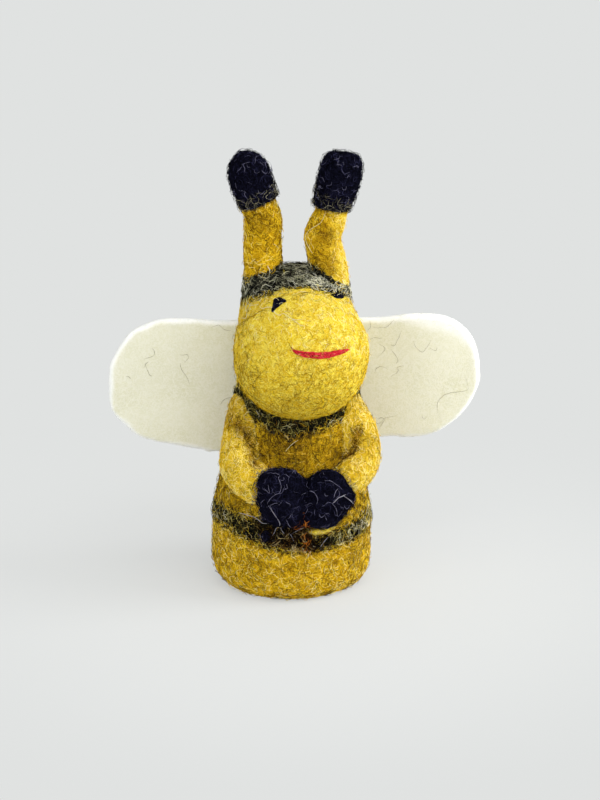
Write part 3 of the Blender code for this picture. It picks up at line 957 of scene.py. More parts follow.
WOOL = Fleece(2.8)
LIMB_WOOL = Fleece(3.2)
FOREHEAD_WOOL = Fleece(2.8, length=(1.3, 3.0), thickness=0.052)
FACE_WOOL = Fleece(3.75, length=(1.1, 2.6), thickness=0.048, lift=(0.03, 0.24), steps=4)
CAP_WOOL = Fleece(5.0, length=(1.8, 4.0), thickness=0.047, lift=(0.05, 0.4), loose=0.12)
NECK_WOOL = replace(CAP_WOOL, loose=0.06)
BELLY_WOOL = replace(NECK_WOOL, density=3.8)
BLACK_WOOL = Fleece(
    3.2, length=(1.2, 3.2), bend=4.0, thickness=0.052, lift=(0.03, 0.5), loose=0.25
)
COLLAR_WOOL = Fleece(
    1.5, length=(2.0, 4.5), bend=4.6, curl=0.12, thickness=0.042, lift=(0.15, 0.6),
    loose=0.15, steps=7,
)
HAND_SHADOW = Fleece(7.0, length=(1.8, 4.0), lift=(0.1, 1.1), loose=0.2, thickness=0.055)
HAIRS = Fleece(
    0.5, length=(2.0, 5.0), bend=4.6, curl=0.14, thickness=0.035, lift=(0.2, 0.5), steps=7,
    loose=0.1,
)
CHEST_HAIRS_AND_SHADE = Fleece(1.5, length=(1.5, 3.5), thickness=0.042, lift=(0.08, 0.4), loose=0.1)
CHEEK_HAIRS = Fleece(
    0.3, length=(2.5, 5.5), bend=3.6, curl=0.12, thickness=0.026, lift=(0.1, 0.35), steps=8
)
BAND_STRAYS = Fleece(1.3, lift=(0.1, 0.4), thickness=0.055)
CAP_STRAYS = Fleece(1.2, lift=(0.2, 0.5))
BROW_STRAYS = Fleece(1.6, length=(1.5, 3.5), thickness=0.034, lift=(0.1, 0.4), loose=0.02)
FOLD_WOOL = Fleece(3.0, lift=(0.1, 0.5))
WRIST_WOOL = Fleece(2.4, lift=(0.1, 0.5), loose=0.2)
FOOT_WOOL = Fleece(3.4, lift=(0.1, 0.4))
BELLY_TUFT = Fleece(4.5, length=(1.2, 2.8), lift=(0.6, 1.4), loose=0.3, thickness=0.05)
HAND_TUFT = Fleece(4.5, length=(1.2, 2.4), lift=(0.3, 0.9), loose=0.2, thickness=0.05)
SMALL_WOOL = Fleece(3.0, length=(1.0, 2.4), thickness=0.05, lift=(0.03, 0.2), loose=0.02)
EYE_WOOL = Fleece(3.5, length=(0.8, 1.8), thickness=0.05, lift=(0.02, 0.12), loose=0.0, steps=4)
MOUTH_WOOL = replace(SMALL_WOOL, lift=(0.02, 0.15), steps=4)
SHAGGY_WOOL = Fleece(6.0, length=(1.0, 2.6), thickness=0.05, lift=(0.05, 0.5), loose=0.3)
WING_NAP = Fleece(
    0.9, length=(0.8, 2.0), thickness=0.03, lift=(0.02, 0.1), loose=0.1, loose_lift=0.4, steps=4
)


def ready(piece: Object, slot: Slot, *nodes: str) -> Object:
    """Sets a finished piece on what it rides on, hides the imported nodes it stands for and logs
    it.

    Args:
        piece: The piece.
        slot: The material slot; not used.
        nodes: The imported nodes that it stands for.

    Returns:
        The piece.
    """
    if nodes:
        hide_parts(*nodes)
    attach(piece, BODY)
    triangles = sum(len(face.vertices) - 2 for face in piece.data.polygons)
    log.info("%s: %d triangles", piece.name, triangles)
    return piece


def dressed(name: str, mesh: Mesh, finish: FeltFinish) -> Object:
    """A new object that shows a mesh in one finish."""
    mesh.materials.clear()
    mesh.materials.append(finish.material())
    return add_piece(name, mesh)


# The felt skins


@dataclass
class Contact:
    """How one felt skin is drawn towards another."""

    tree: BVHTree
    draw: Reading  # how far off the drawing starts, at each point
    crease: Reading  # how much painted shade the fold between them gets


@dataclass(frozen=True)
class Swelling:
    """A rounded rise or dip in a felt skin, or a patch of painted shade on it."""

    place: Place
    reach: float
    height: float = 0.0
    crease: float = 0.0

    def strength(self, points: np.ndarray) -> np.ndarray:
        """How much of it is felt at each point."""
        gap = np.linalg.norm(points - np.array(self.place) * MM, axis=1)
        return np.exp(-((gap / (self.reach * MM)) ** 2))


@dataclass(frozen=True)
class Fold:
    """A groove along a line in a felt skin, with painted shade along it."""

    route: Route
    reach: float
    height: float
    crease: float = 0.0

    def strength(self, points: np.ndarray) -> np.ndarray:
        """How much of it is felt at each point."""
        gap = route_gaps(points, smooth_line(self.route, 6) * MM)
        return np.exp(-((gap / (self.reach * MM)) ** 2))


@dataclass(frozen=True)
class FrontPatch:
    """A soft oval on the puppet's front, seen straight on."""

    across: float
    height: float
    half_width: float
    half_height: float

    def strength(self, points: np.ndarray) -> np.ndarray:
        """How much of it is felt at each point."""
        x = (points[:, 0] / MM - self.across) / self.half_width
        z = (points[:, 2] / MM - self.height) / self.half_height
        return np.exp(-(x**2 + z**2)) * (points[:, 1] < 0)


def always(value: float) -> Reading:
    """The same value at every point."""
    return lambda points: np.full(len(points), value)


def rising(low: float, high: float, bottom: float, top: float) -> Reading:
    """A value that goes from one to another between two heights in millimetres."""
    return lambda points: low + (high - low) * ease(points[:, 2], bottom * MM, top * MM)


@dataclass
class FeltSkin:
    """One felt surface that is drawn towards its neighbours and made a little lumpy."""

    mesh: Mesh
    marks: tuple[Swelling | Fold, ...]
    seed: float
    lumps: Pairs = ((9 * MM, 0.18 * MM), (3.2 * MM, 0.12 * MM))  # their sizes and heights
    swell: float = 0.05 * MM
    search: float = 8 * MM
    fold_reach: float = 1.5 * MM

    def draw_out(self, contacts: Sequence[Contact], free: np.ndarray | float) -> None:
        """Moves the surface and writes its layers.

        Args:
            contacts: The neighbours.
            free: How far each point may move, from 0 to 1.
        """
        start, out = places(self.mesh), normals(self.mesh)
        push = np.full(len(start), self.swell)
        crease, hidden = np.zeros(len(start)), np.zeros(len(start))
        for contact in contacts:
            reach = contact.draw(start)
            gap = distances(contact.tree, start, self.search)
            close = np.clip(reach - np.abs(gap), 0.0, None)
            push += close * close / (4 * reach)
            fold = np.clip(1.0 - np.abs(gap) / self.fold_reach, 0.0, 1.0) ** 1.5
            crease = np.maximum(crease, fold * contact.crease(start))
            hidden = np.maximum(hidden, ease(-gap, 0.1 * MM, 0.5 * MM))
        for mark in self.marks:
            strength = mark.strength(start)
            push += mark.height * MM * strength
            crease = np.maximum(crease, mark.crease * strength)
        for i, (grain, height) in enumerate(self.lumps):
            push += height * waver(start, grain, self.seed + i)
        set_places(self.mesh, start + out * (push * free)[:, None])
        set_layer(self.mesh, Layer.CREASE, crease)
        set_layer(self.mesh, Layer.FLEECE, 1.0 - hidden)


@dataclass
class HollowBody:
    """The hollow felt tube of the body, with its crown, hem and finger pocket."""

    hem_radius: float = 19.4 * MM
    hem_roll: float = 6.0 * MM
    hem_inner_round: float = 0.8 * MM
    belly_height: float = 15.0 * MM
    neck_height: float = 48.5 * MM
    neck_radius: float = 14.0 * MM
    brow_height: float = 62.0 * MM
    brow_radius: float = 13.6 * MM
    crown_height: float = 69.0 * MM
    crown_rise: float = 13.0 * MM
    hem_wall: float = 8.4 * MM
    neck_wall: float = 4.5 * MM
    pocket_top: float = 62.0 * MM
    pocket_end: float = 8.5 * MM
    depth_share: float = 0.94
    lean: float = 1.2 * MM
    axis: tuple[float, float] = (-0.70 * MM, 2.15 * MM)
    sides: int = 168

    @property
    def top(self) -> float:
        """The height of the top of the head."""
        return self.crown_height + self.crown_rise

    def radius(self, height: float) -> float:
        """Half the body's width at a height above the hem's roll.

        Args:
            height: The height.

        Returns:
            The radius from side to side.
        """
        if height >= self.crown_height:
            rise = min((height - self.crown_height) / self.crown_rise, 1.0)
            return self.brow_radius * math.sqrt(1.0 - rise * rise)
        if height >= self.neck_height:
            share = float(ease(height, self.neck_height, self.brow_height))
            return self.neck_radius + (self.brow_radius - self.neck_radius) * share
        share = float(ease(height, self.belly_height, self.neck_height))
        return self.hem_radius + (self.neck_radius - self.hem_radius) * share

    def pocket_radius(self, height: float) -> float:
        """Half the finger pocket's width at a height."""
        share = min(height / self.neck_height, 1.0)
        wall = self.hem_wall + (self.neck_wall - self.hem_wall) * share
        return self.radius(height) - wall

    def middle(self, height: float) -> Vector:
        """The body's axis at a height."""
        across = self.axis[0] + self.lean * float(ease(height, 0.0, self.top))
        return Vector((across, self.axis[1], height))

    def outline(self) -> list[tuple[float, float]]:
        """The body's outline as (radius, height), from the crown down and up the pocket."""
        points = []
        for turn in np.linspace(math.pi / 2, 0, 26):
            height = self.crown_height + self.crown_rise * math.sin(turn)
            points.append((self.brow_radius * math.cos(turn), height))
        for height in np.linspace(self.crown_height, self.hem_roll, 96)[1:]:
            points.append((self.radius(height), height))
        for turn in np.linspace(0, math.pi / 2, 14)[1:]:
            across = self.hem_radius - self.hem_roll * (1 - math.cos(turn))
            points.append((across, self.hem_roll * (1 - math.sin(turn))))
        mouth, small = self.pocket_radius(0.0), self.hem_inner_round
        for turn in np.linspace(0, math.pi / 2, 4):
            across = mouth + small * (1 - math.sin(turn))
            points.append((across, small * (1 - math.cos(turn))))
        shoulder = self.pocket_top - self.pocket_end
        for height in np.linspace(small, shoulder, 30)[1:]:
            points.append((self.pocket_radius(height), height))
        for turn in np.linspace(0, math.pi / 2, 9)[1:]:
            across = self.pocket_radius(shoulder) * math.cos(turn)
            points.append((across, shoulder + self.pocket_end * math.sin(turn)))
        return points

    def mesh(self) -> Mesh:
        """The plain tube, before it is drawn out."""
        rows = self.outline()
        points = []
        for across, height in rows:
            middle = self.middle(height)
            for turn in np.linspace(0, 2 * math.pi, self.sides, endpoint=False):
                x, y = across * math.sin(turn), -across * self.depth_share * math.cos(turn)
                points.append((middle.x + x, middle.y + y, height))
        return mesh_from("body_skin", np.array(points), ring_faces(len(rows), self.sides))

    def off_axis(self, points: np.ndarray) -> tuple[np.ndarray, np.ndarray]:
        """How far to the side of the axis, and how far behind it, each point lies."""
        across = points[:, 0] - np.array([self.middle(z).x for z in points[:, 2]])
        return across, points[:, 1] - self.axis[1]

    def angle(self, points: np.ndarray) -> np.ndarray:
        """Degrees from the front round to each point, positive to the puppet's left."""
        across, behind = self.off_axis(points)
        return np.degrees(np.arctan2(across, -behind))

    def outside(self, points: np.ndarray) -> np.ndarray:
        """1 on the body's outside and 0 in its pocket, at each point."""
        across, behind = self.off_axis(points)
        pocket = np.array([self.pocket_radius(max(z, 0.0)) for z in points[:, 2]])
        return ease(np.hypot(across, behind / self.depth_share) - pocket, 0.8 * MM, 2.4 * MM)


def edge_at(edge: Pairs, angle: np.ndarray) -> np.ndarray:
    """A dark layer's edge, given in degrees and millimetres, as its height at each angle."""
    turns, heights = zip(*edge)
    return np.interp(angle, turns, heights) * MM


@dataclass
class DarkLayer:
    """A thin ragged layer of dark wool felted onto the body."""

    node: str
    low: Pairs
    high: Pairs | None  # None where it covers the crown
    rows: int = 22
    sides: int = 180
    raised: float = 0.16 * MM
    sunk: float = 0.45 * MM
    depth: float = 0.9 * MM
    ragged: float = 0.5 * MM
    far: float = 40.0  # millimetres outside the body, where the skin is felt for from

    def torn(self, edge: Pairs, angle: np.ndarray, *lots: tuple[float, float]) -> np.ndarray:
        """An edge's heights with small tears, each lot of which has a size and a seed."""
        ring = np.c_[np.sin(np.radians(angle)), np.cos(np.radians(angle)), angle * 0]
        tears = sum(waver(ring, size, seed) * 0.6 for size, seed in lots)
        return edge_at(edge, angle) + tears * self.ragged

    def edges(self, angle: np.ndarray, body: HollowBody) -> tuple[np.ndarray, np.ndarray]:
        """The heights of the layer's lower and upper edge.

        Args:
            angle: Degrees from the front.
            body: The body's sizes.

        Returns:
            The lower and the upper heights.
        """
        low = self.torn(self.low, angle, (0.16, 3.0), (0.06, 9.0))
        if self.high is None:
            return low, np.full(len(angle), body.top)
        return low, self.torn(self.high, angle, (0.17, 5.0), (0.07, 4.0))

    def mesh(self, body: HollowBody, skin: BVHTree) -> Mesh:
        """The layer, laid on the body's skin.

        Args:
            body: The body's sizes.
            skin: The body's drawn-out skin.

        Returns:
            The closed mesh.
        """
        angles = np.linspace(-180, 180, self.sides, endpoint=False)
        low, high = self.edges(angles, body)
        outer, inner = [], []
        base = body.crown_height - 4 * MM
        for row in range(self.rows + 1):
            share = row / self.rows
            rim = min(share, 1.0 - share) if self.high is not None else share
            stand = -self.sunk + (self.raised + self.sunk) * float(ease(rim, 0.0, 0.2))
            for angle, bottom, top in zip(np.radians(angles), low, high):
                way = Vector((math.sin(angle), -math.cos(angle), 0.0))
                start = body.middle(bottom + (top - bottom) * share)
                if self.high is None:
                    start = body.middle(base)
                    slope = math.atan2(bottom - base, body.radius(bottom))
                    rise = slope + (math.pi / 2 - slope) * share
                    way = way * math.cos(rise) + Vector((0, 0, math.sin(rise)))
                place = skin.ray_cast(start + way * self.far * MM, -way)[0]
                outer.append(place + way * stand)
                inner.append(place - way * self.depth)
        rims = (0,) if self.high is None else (0, self.rows)
        faces = shell_faces(self.rows + 1, self.sides, rims)
        return mesh_from(self.node + "_layer", np.array([tuple(p) for p in outer + inner]), faces)

    def haze(self, points: np.ndarray, body: HollowBody) -> np.ndarray:
        """Where thin dark wool strays above the layer at the sides.

        Args:
            points: Places on the body.
            body: The body's sizes.

        Returns:
            From 0 for none to 1.
        """
        angle = body.angle(points)
        over = points[:, 2] - edge_at(self.high, angle)
        sides = ease(np.abs(angle), 18.0, 40.0) * (1.0 - ease(np.abs(angle), 95.0, 130.0))
        return sides * (1.0 - ease(over, 1.0 * MM, 8.0 * MM)) * (over > -2 * MM)

    def cover(self, points: np.ndarray, body: HollowBody, blur: float) -> np.ndarray:
        """How far each point lies in the layer.

        Args:
            points: Places on the body.
            body: The body's sizes.
            blur: How many millimetres the layer's wool strays beyond its edges.

        Returns:
            From 0 outside to 1 inside.
        """
        angle = body.angle(points)
        near = points[:, 2] - edge_at(self.low, angle)
        if self.high is not None:
            near = np.minimum(near, edge_at(self.high, angle) - points[:, 2])
        reach = blur * MM
        return ease(near, -reach, 0.4 * reach)


HEAD_CAP = DarkLayer(
    "head_cap",
    low=(
        (-180, 71.0), (-120, 71.0), (-95, 71.5), (-78, 72.6), (-60, 74.3), (-46, 75.8),
        (-33, 77.0), (-26, 78.3), (-10, 78.6), (9, 79.0), (23, 78.7), (33, 77.8), (45, 77.1),
        (55, 76.2), (67, 75.4), (87, 73.8), (110, 72.0), (135, 71.0), (180, 71.0),
    ),
    high=None, rows=30,
)
NECK_BAND = DarkLayer(
    "neck_band",
    low=(
        (-180, 42.5), (-120, 43.5), (-90, 48.2), (-72, 48.2), (-50, 46.2), (-37, 44.7),
        (-25, 43.6), (-12, 42.6), (-4, 41.6), (4, 42.2), (23, 43.5), (35, 44.0), (48, 44.5),
        (65, 45.0), (80, 47.5), (100, 47.0), (130, 43.5), (180, 42.5),
    ),
    high=(
        (-180, 48.5), (-120, 49.0), (-90, 50.8), (-72, 52.5), (-50, 51.8), (-25, 50.5), (0, 50.5),
        (25, 50.5), (50, 51.0), (70, 53.5), (85, 53.5), (105, 50.5), (120, 49.0), (180, 48.5),
    ),
)
BELLY_BAND = DarkLayer(
    "belly_band",
    low=(
        (-180, 14.6), (-110, 16.0), (-80, 17.2), (-60, 17.6), (-48, 17.2), (-38, 16.4),
        (-29, 15.5), (-17, 14.6), (-1, 14.2), (14, 13.9), (27, 14.1), (40, 14.5), (66, 14.9),
        (90, 14.7), (130, 14.2), (180, 14.6),
    ),
    high=(
        (-180, 20.5), (-120, 21.2), (-90, 21.6), (-64, 22.6), (-50, 22.1), (-39, 21.4),
        (-28, 22.6), (-17, 25.0), (-6, 25.4), (5, 24.4), (10, 20.0), (16, 18.0), (26, 18.1),
        (40, 18.8), (53, 19.6), (67, 20.4), (90, 20.6), (130, 20.4), (180, 20.5),
    ),
)


@dataclass(frozen=True)
class TipRim:
    """The lower edge of a feeler's black tip, as a height that changes across the puppet.

    Each line is (height, rise for each millimetre across) at the middle of the rim.
    """

    middle: float
    made: tuple[float, float]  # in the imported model
    worn: tuple[float, float]  # where the black wool ends
    blend: float = 5.0
    thicker: float = 0.9

    def lines(self, points: np.ndarray) -> tuple[np.ndarray, np.ndarray]:
        """Both lines' heights at each point."""
        off = points[:, 0] / MM - self.middle
        made = self.made[0] + self.made[1] * off
        return made * MM, (self.worn[0] + self.worn[1] * off) * MM

    def shorten(self, mesh: Mesh) -> None:
        """Draws the tip's lower end up to where it is worn.

        Args:
            mesh: The tip's skin.
        """
        points = places(mesh)
        made, worn = self.lines(points)
        top = made + self.blend * MM
        moved = worn + (points[:, 2] - made) / (top - made) * (top - worn)
        points[:, 2] = np.where(points[:, 2] < top, moved, points[:, 2])
        set_places(mesh, points)

    def thicken(self, mesh: Mesh) -> None:
        """Thickens the feeler where its tip no longer covers it.

        Args:
            mesh: The feeler's skin.
        """
        points, out = places(mesh), normals(mesh)
        made, worn = self.lines(points)
        bare = ease(points[:, 2] - made, -3.4 * MM, 0.6 * MM)
        bare *= 1.0 - ease(points[:, 2] - worn, 1.0 * MM, 2.5 * MM)
        set_places(mesh, points + out * (bare * self.thicker * MM)[:, None])


TIP_RIMS = {
    "right": TipRim(-8.0, made=(95.8, 0.21), worn=(97.6, 0.38)),
    "left": TipRim(9.0, made=(96.1, -0.31), worn=(96.8, -0.26), thicker=0.4),
}
FEELER_FEET = {
    "right": ((-12.1, 78.6), (-9.2, 80.3), (-7.3, 80.9), (-5.5, 81.6), (-3.0, 82.7)),
    "left": ((3.6, 82.6), (5.1, 82.6), (6.8, 81.7), (8.7, 80.3), (10.6, 78.9), (13.3, 76.9)),
}
FOLDS = {
    "right_arm": Fold(
        ((-14.0, -8.4, 44.9), (-12.3, -9.8, 43.4), (-10.4, -11.0, 40.7), (-8.9, -13.8, 36.6)), 1.6,
        -0.7, 0.75,
    ),
    "left_arm": Fold(
        ((15.4, -7.9, 42.2), (14.8, -8.5, 40.4), (13.9, -9.3, 38.0), (10.5, -10.2, 35.5)), 1.4,
        -0.9, 0.9,
    ),
}
# Each row is a place's three numbers, a reach, a height and how much painted shade it gives
SWELLINGS = {
    "body": (
        (14.2, 1.5, 50.5, 5.0, 1.2), (1.0, 0.0, 83.0, 8.0, -1.5),
        (0.0, -12.0, 40.0, 7.0, 0.0, 0.6), (-8.0, -11.0, 38.0, 5.0, 0.0, 0.55),
        (9.5, -10.5, 37.0, 4.0, 0.0, 0.5), (4.0, -15.0, 25.0, 5.0, 0.0, 0.4),
        (-14.0, -9.0, 25.0, 4.0, 0.0, 0.25), (14.5, -7.5, 12.0, 5.0, 0.0, 0.25),
    ),
    "muzzle": (
        (2.0, -17.5, 53.0, 7.0, 0.0, 0.22), (-4.0, -14.0, 49.0, 5.0, 0.0, 0.3),
        (4.0, -19.0, 62.0, 4.0, 0.0, 0.18),
    ),
    "right_arm": ((-15.0, -5.0, 45.5, 4.0, 0.0, 0.4), (-16.0, -10.0, 34.0, 4.0, 0.3)),
    "left_arm": ((17.2, -7.0, 39.5, 3.0, 0.0, 0.35),),
    "right_hand": (
        (-5.6, -18.0, 33.2, 3.0, 1.9), (-7.6, -18.5, 30.5, 3.0, 1.1),
        (0.2, -18.8, 35.8, 2.4, -0.9), (0.8, -17.5, 24.2, 3.6, 2.7),
        (-3.5, -18.0, 19.6, 3.4, -2.2), (0.4, -18.0, 20.0, 3.2, -1.6),
        (-6.6, -17.6, 21.2, 2.8, -1.4), (-3.2, -20.6, 33.0, 2.0, 0.4),
        (-4.8, -21.0, 26.2, 2.0, 0.4), (-8.4, -18.4, 26.2, 2.4, -0.7),
    ),
    "left_hand": (
        (3.8, -17.5, 25.0, 3.4, 2.6), (8.6, -18.6, 22.8, 2.6, 0.7), (12.0, -18.0, 33.0, 2.6, -0.5),
        (4.6, -17.5, 34.4, 2.2, -0.5), (12.4, -18.0, 24.2, 2.6, -1.1),
        (14.2, -17.0, 28.9, 2.0, 0.5),
    ),
    "right_feeler_tip": ((-10.3, 1.6, 109.4, 1.6, 0.35), (-13.4, 1.6, 107.6, 1.8, 0.3)),
    "left_feeler_tip": (
        (8.8, 3.0, 107.6, 2.2, 0.8), (14.9, 3.0, 107.6, 2.2, 0.8), (12.0, 3.5, 110.2, 2.4, -0.6),
    ),
    "right_feeler": (
        (-8.5, -1.0, 93.5, 3.6, 0.0, 0.5), (-7.5, -2.0, 88.5, 2.4, 0.0, 0.2),
        (-4.0, 2.0, 93.0, 3.0, 0.4),
    ),
    "left_feeler": (
        (7.6, -0.9, 89.5, 2.6, 0.0, 0.6), (8.0, -1.6, 83.5, 3.0, 0.0, 0.45),
        (3.2, 2.6, 89.5, 2.4, 0.5),
    ),
}


def marks_on(name: str) -> tuple[Swelling | Fold, ...]:
    """The fold and the swellings of one skin."""
    fold = (FOLDS[name],) if name in FOLDS else ()
    return fold + tuple(Swelling(row[:3], *row[3:]) for row in SWELLINGS.get(name, ()))


def shade(name: str, points: np.ndarray) -> np.ndarray:
    """How much painted shade the marks of one skin give its wool at each point."""
    return sum(mark.crease * mark.strength(points) for mark in marks_on(name))


@dataclass
class Puppet:
    """The felt pieces of the puppet, drawn out together."""

    body: HollowBody
    voxel: float = 0.45 * MM
    finer: float = 0.9  # how much finer the small pieces' skins are divided

    def contacts(self) -> dict[str, list[tuple[str, Reading, Reading]]]:
        """What each skin is drawn to, how far off that starts and how much shade is painted in the
        fold.
        """
        lower = rising(0.9, 0.0, 36, 42)
        shoulder = rising(1.6 * MM, 4.6 * MM, 34, 43)
        brow = rising(1.6 * MM, 5.0 * MM, 52, 68)
        none = always(0.0)
        found: dict[str, list[tuple[str, Reading, Reading]]] = {
            "body": [("muzzle", brow, rising(0.7, 0.0, 56, 66))],
            "muzzle": [("body", brow, rising(0.6, 0.0, 52, 60))],
        }
        for side, other in (SIDES, SIDES[::-1]):
            arm, hand = side + "_arm", side + "_hand"
            stalk, tip = side + "_feeler", side + "_feeler_tip"
            found["body"] += [
                (arm, shoulder, lower),
                (hand, always(0.8 * MM), always(0.8)),
                (stalk, always(2.0 * MM), always(0.2)),
            ]
            found[arm] = [
                ("body", shoulder, lower),
                (hand, always(1.0 * MM), always(0.5)),
                ("muzzle", always(0.8 * MM), none),
            ]
            found[hand] = [
                ("body", always(0.6 * MM), none),
                (arm, always(1.0 * MM), none),
                (other + "_hand", always(3.2 * MM), none),
            ]
            found[stalk] = [
                ("body", always(2.0 * MM), always(0.3)),
                (tip, always(0.8 * MM), always(0.4)),
            ]
            found[tip] = [(stalk, always(0.7 * MM), none)]
        return found

    def skins(self) -> dict[str, Mesh]:
        """Makes and draws out the felt skins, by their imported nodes' names."""
        made = {"body": self.body.mesh(), "muzzle": softened("muzzle", self.voxel, 6)}
        for side in SIDES:
            for part in ("arm", "hand", "feeler", "feeler_tip"):
                name = f"{side}_{part}"
                made[name] = softened(name, self.voxel * self.finer, 5)
            TIP_RIMS[side].thicken(made[side + "_feeler"])
            TIP_RIMS[side].shorten(made[side + "_feeler_tip"])
        trees = {name: search_tree(mesh) for name, mesh in made.items()}
        touching = self.contacts()
        for i, (name, mesh) in enumerate(made.items()):
            contacts = [Contact(trees[n], draw, fold) for n, draw, fold in touching[name]]
            start = places(mesh)
            free = self.body.outside(start) if name == "body" else 1.0
            FeltSkin(mesh, marks_on(name), seed=1.7 * i + 0.4).draw_out(contacts, free)
            if name == "body":
                self.paint_body(mesh, start)
            elif name.endswith("feeler"):
                self.paint_feeler(mesh, start, name.split("_")[0])
        return made

    def paint_body(self, mesh: Mesh, start: np.ndarray) -> None:
        """Writes where the body's wool is bright, where its dark layers lie and where shadow is
        painted.

        Args:
            mesh: The body's skin.
            start: Its points before they were drawn out.
        """
        body = self.body
        outside = body.outside(start)
        set_layer(mesh, Layer.GLOW, ease(start[:, 2], 49 * MM, 56 * MM) * outside)
        soot = np.max([
            NECK_BAND.cover(start, body, 1.8),
            BELLY_BAND.cover(start, body, 1.8),
            HEAD_CAP.cover(start, body, 1.2),
            0.42 * BELLY_BAND.haze(start, body),
            # a dark patch under the hands: painted shadow
            Swelling((0.5, -16.0, 21.0), 4.2).strength(start),
        ], axis=0)
        set_layer(mesh, Layer.SOOT, soot * outside)
        low_inside = (start[:, 2] < 1.5 * MM) & (outside < 0.5)
        fleece = layer_values(mesh, Layer.FLEECE) * np.where(low_inside, 0.3, outside)
        set_layer(mesh, Layer.FLEECE, fleece)

    def paint_feeler(self, mesh: Mesh, start: np.ndarray, side: str) -> None:
        """Writes where the cap's dark wool climbs a feeler's foot.

        Args:
            mesh: The feeler's skin.
            start: Its points before they were drawn out.
            side: The puppet's own side.
        """
        across, height = zip(*FEELER_FEET[side])
        foot = np.interp(start[:, 0] / MM, across, height) * MM
        set_layer(mesh, Layer.SOOT, ease(foot - start[:, 2], -0.5 * MM, 0.5 * MM))

    def build(self) -> dict[str, Object]:
        """Makes the felt pieces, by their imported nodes' names."""
        made = {}
        for name, mesh in self.skins().items():
            dark = name.endswith(("hand", "tip"))
            slot = Slot.BLACK if dark else Slot.BRIGHT if name == "muzzle" else Slot.GOLDEN
            if name == "muzzle":
                set_layer(mesh, Layer.GLOW, 1.0)
            piece = dressed("felt_" + name, mesh, BLACK_FELT if dark else GOLDEN_FELT)
            made[name] = ready(piece, slot, name)
        skin = search_tree(made["body"].data)
        for layer in (HEAD_CAP, NECK_BAND, BELLY_BAND):
            mesh = layer.mesh(self.body, skin)
            gap = distances(skin, places(mesh), 2 * MM)
            set_layer(mesh, Layer.FLEECE, ease(gap, -0.5 * MM, -0.1 * MM))
            piece = dressed("felt_" + layer.node, mesh, SOOT_FELT)
            made[layer.node] = ready(piece, Slot.DARK, layer.node)
        return made


# Small felted and threaded details


@dataclass(frozen=True)
class FeltSpot:
    """A small domed spot of wool, like an eye."""

    name: str
    outline: Route
    proud: float = 0.45
    depth: float = 0.6
    rings: int = 9

    def mesh(self, skin: BVHTree) -> Mesh:
        """The spot, laid on a skin, with a full fleece layer for fibres to lie on.

        Args:
            skin: The skin's search tree.

        Returns:
            The closed mesh.
        """
        rim = smooth_line(self.outline, 5, closed=True) * MM
        middle, sides = rim.mean(axis=0), len(rim)
        points = []
        for over in (True, False):
            for ring in range(self.rings + 1):
                share = ring / self.rings
                row = middle + (rim - middle) * max(share, 0.001)
                dome = max(1.0 - share * share, 0.0) ** 0.6
                height = self.proud * dome if over else -self.depth
                points.append(laid(skin, row, np.full(sides, height * MM)))
        faces = shell_faces(self.rings + 1, sides, (self.rings,))
        for start in (0, (self.rings + 1) * sides):
            faces.append(tuple(range(start, start + sides)))
        mesh = mesh_from(self.name, np.vstack(points), faces)
        set_layer(mesh, Layer.FLEECE, 1.0)
        return mesh


@dataclass(frozen=True)
class StrandMouth:
    """A mouth of several red strands that lie along one line and cross each other."""

    route: Route
    widths: tuple[float, ...]  # half the mouth's height along its line
    strands: int = 7
    radius: float = 0.19
    rise: float = 0.2

    def mesh(self, skin: BVHTree) -> Mesh:
        """The mouth, laid on a skin.

        Args:
            skin: The skin's search tree.

        Returns:
            The strands as one mesh.
        """
        line = smooth_line(self.route, 8) * MM
        share = np.linspace(0, 1, len(line))
        half = np.interp(share, np.linspace(0, 1, len(self.widths)), self.widths) * MM
        upright = np.array([tuple(skin.find_nearest(p)[1]) for p in line])
        side = np.cross(upright, directions(line))
        thick = np.minimum(self.radius * MM, half * 0.6 + 0.05 * MM)
        routes = []
        for i in range(self.strands):
            twist = 0.9 + 0.25 * math.sin(i * 2.1)
            turn = share * 2 * math.pi * twist + i * 2 * math.pi / self.strands
            spread = line + side * (half * 0.8 * np.sin(turn))[:, None]
            heights = (self.rise + 0.14 * np.cos(turn)) * MM * np.minimum(half / (0.4 * MM), 1.0)
            routes.append((laid(skin, spread, heights - 0.1 * MM), thick))
        mesh = tubes("mouth_strands", routes, 7)
        set_layer(mesh, Layer.FLEECE, 1.0)
        return mesh


@dataclass(frozen=True)
class Strands:
    """Single long fibres that lie on the felt along given lines."""

    name: str
    finish: FeltFinish
    slot: Slot
    routes: tuple[Route, ...]
    radius: float = 0.07
    rise: float = 0.14
    wave: float = 0.12

    def build(self, skin: BVHTree) -> Object:
        """Lays the strands on a skin.

        Args:
            skin: The skin's search tree.

        Returns:
            The piece.
        """
        routes = []
        for i, route in enumerate(self.routes):
            line = smooth_line(route, 7) * MM
            share = np.linspace(0, 1, len(line))
            rock = waver(line, 1.1 * MM, 2.0 + i) * self.wave * MM
            line = line + np.c_[rock, rock * 0, -rock]
            height = (self.rise + 0.06 * np.sin(share * 9 + i)) * MM
            thick = self.radius * MM * (1.0 - 0.7 * np.abs(2 * share - 1) ** 3)
            routes.append((laid(skin, line, height), thick))
        return ready(dressed(self.name, tubes(self.name, routes, 6), self.finish), self.slot)


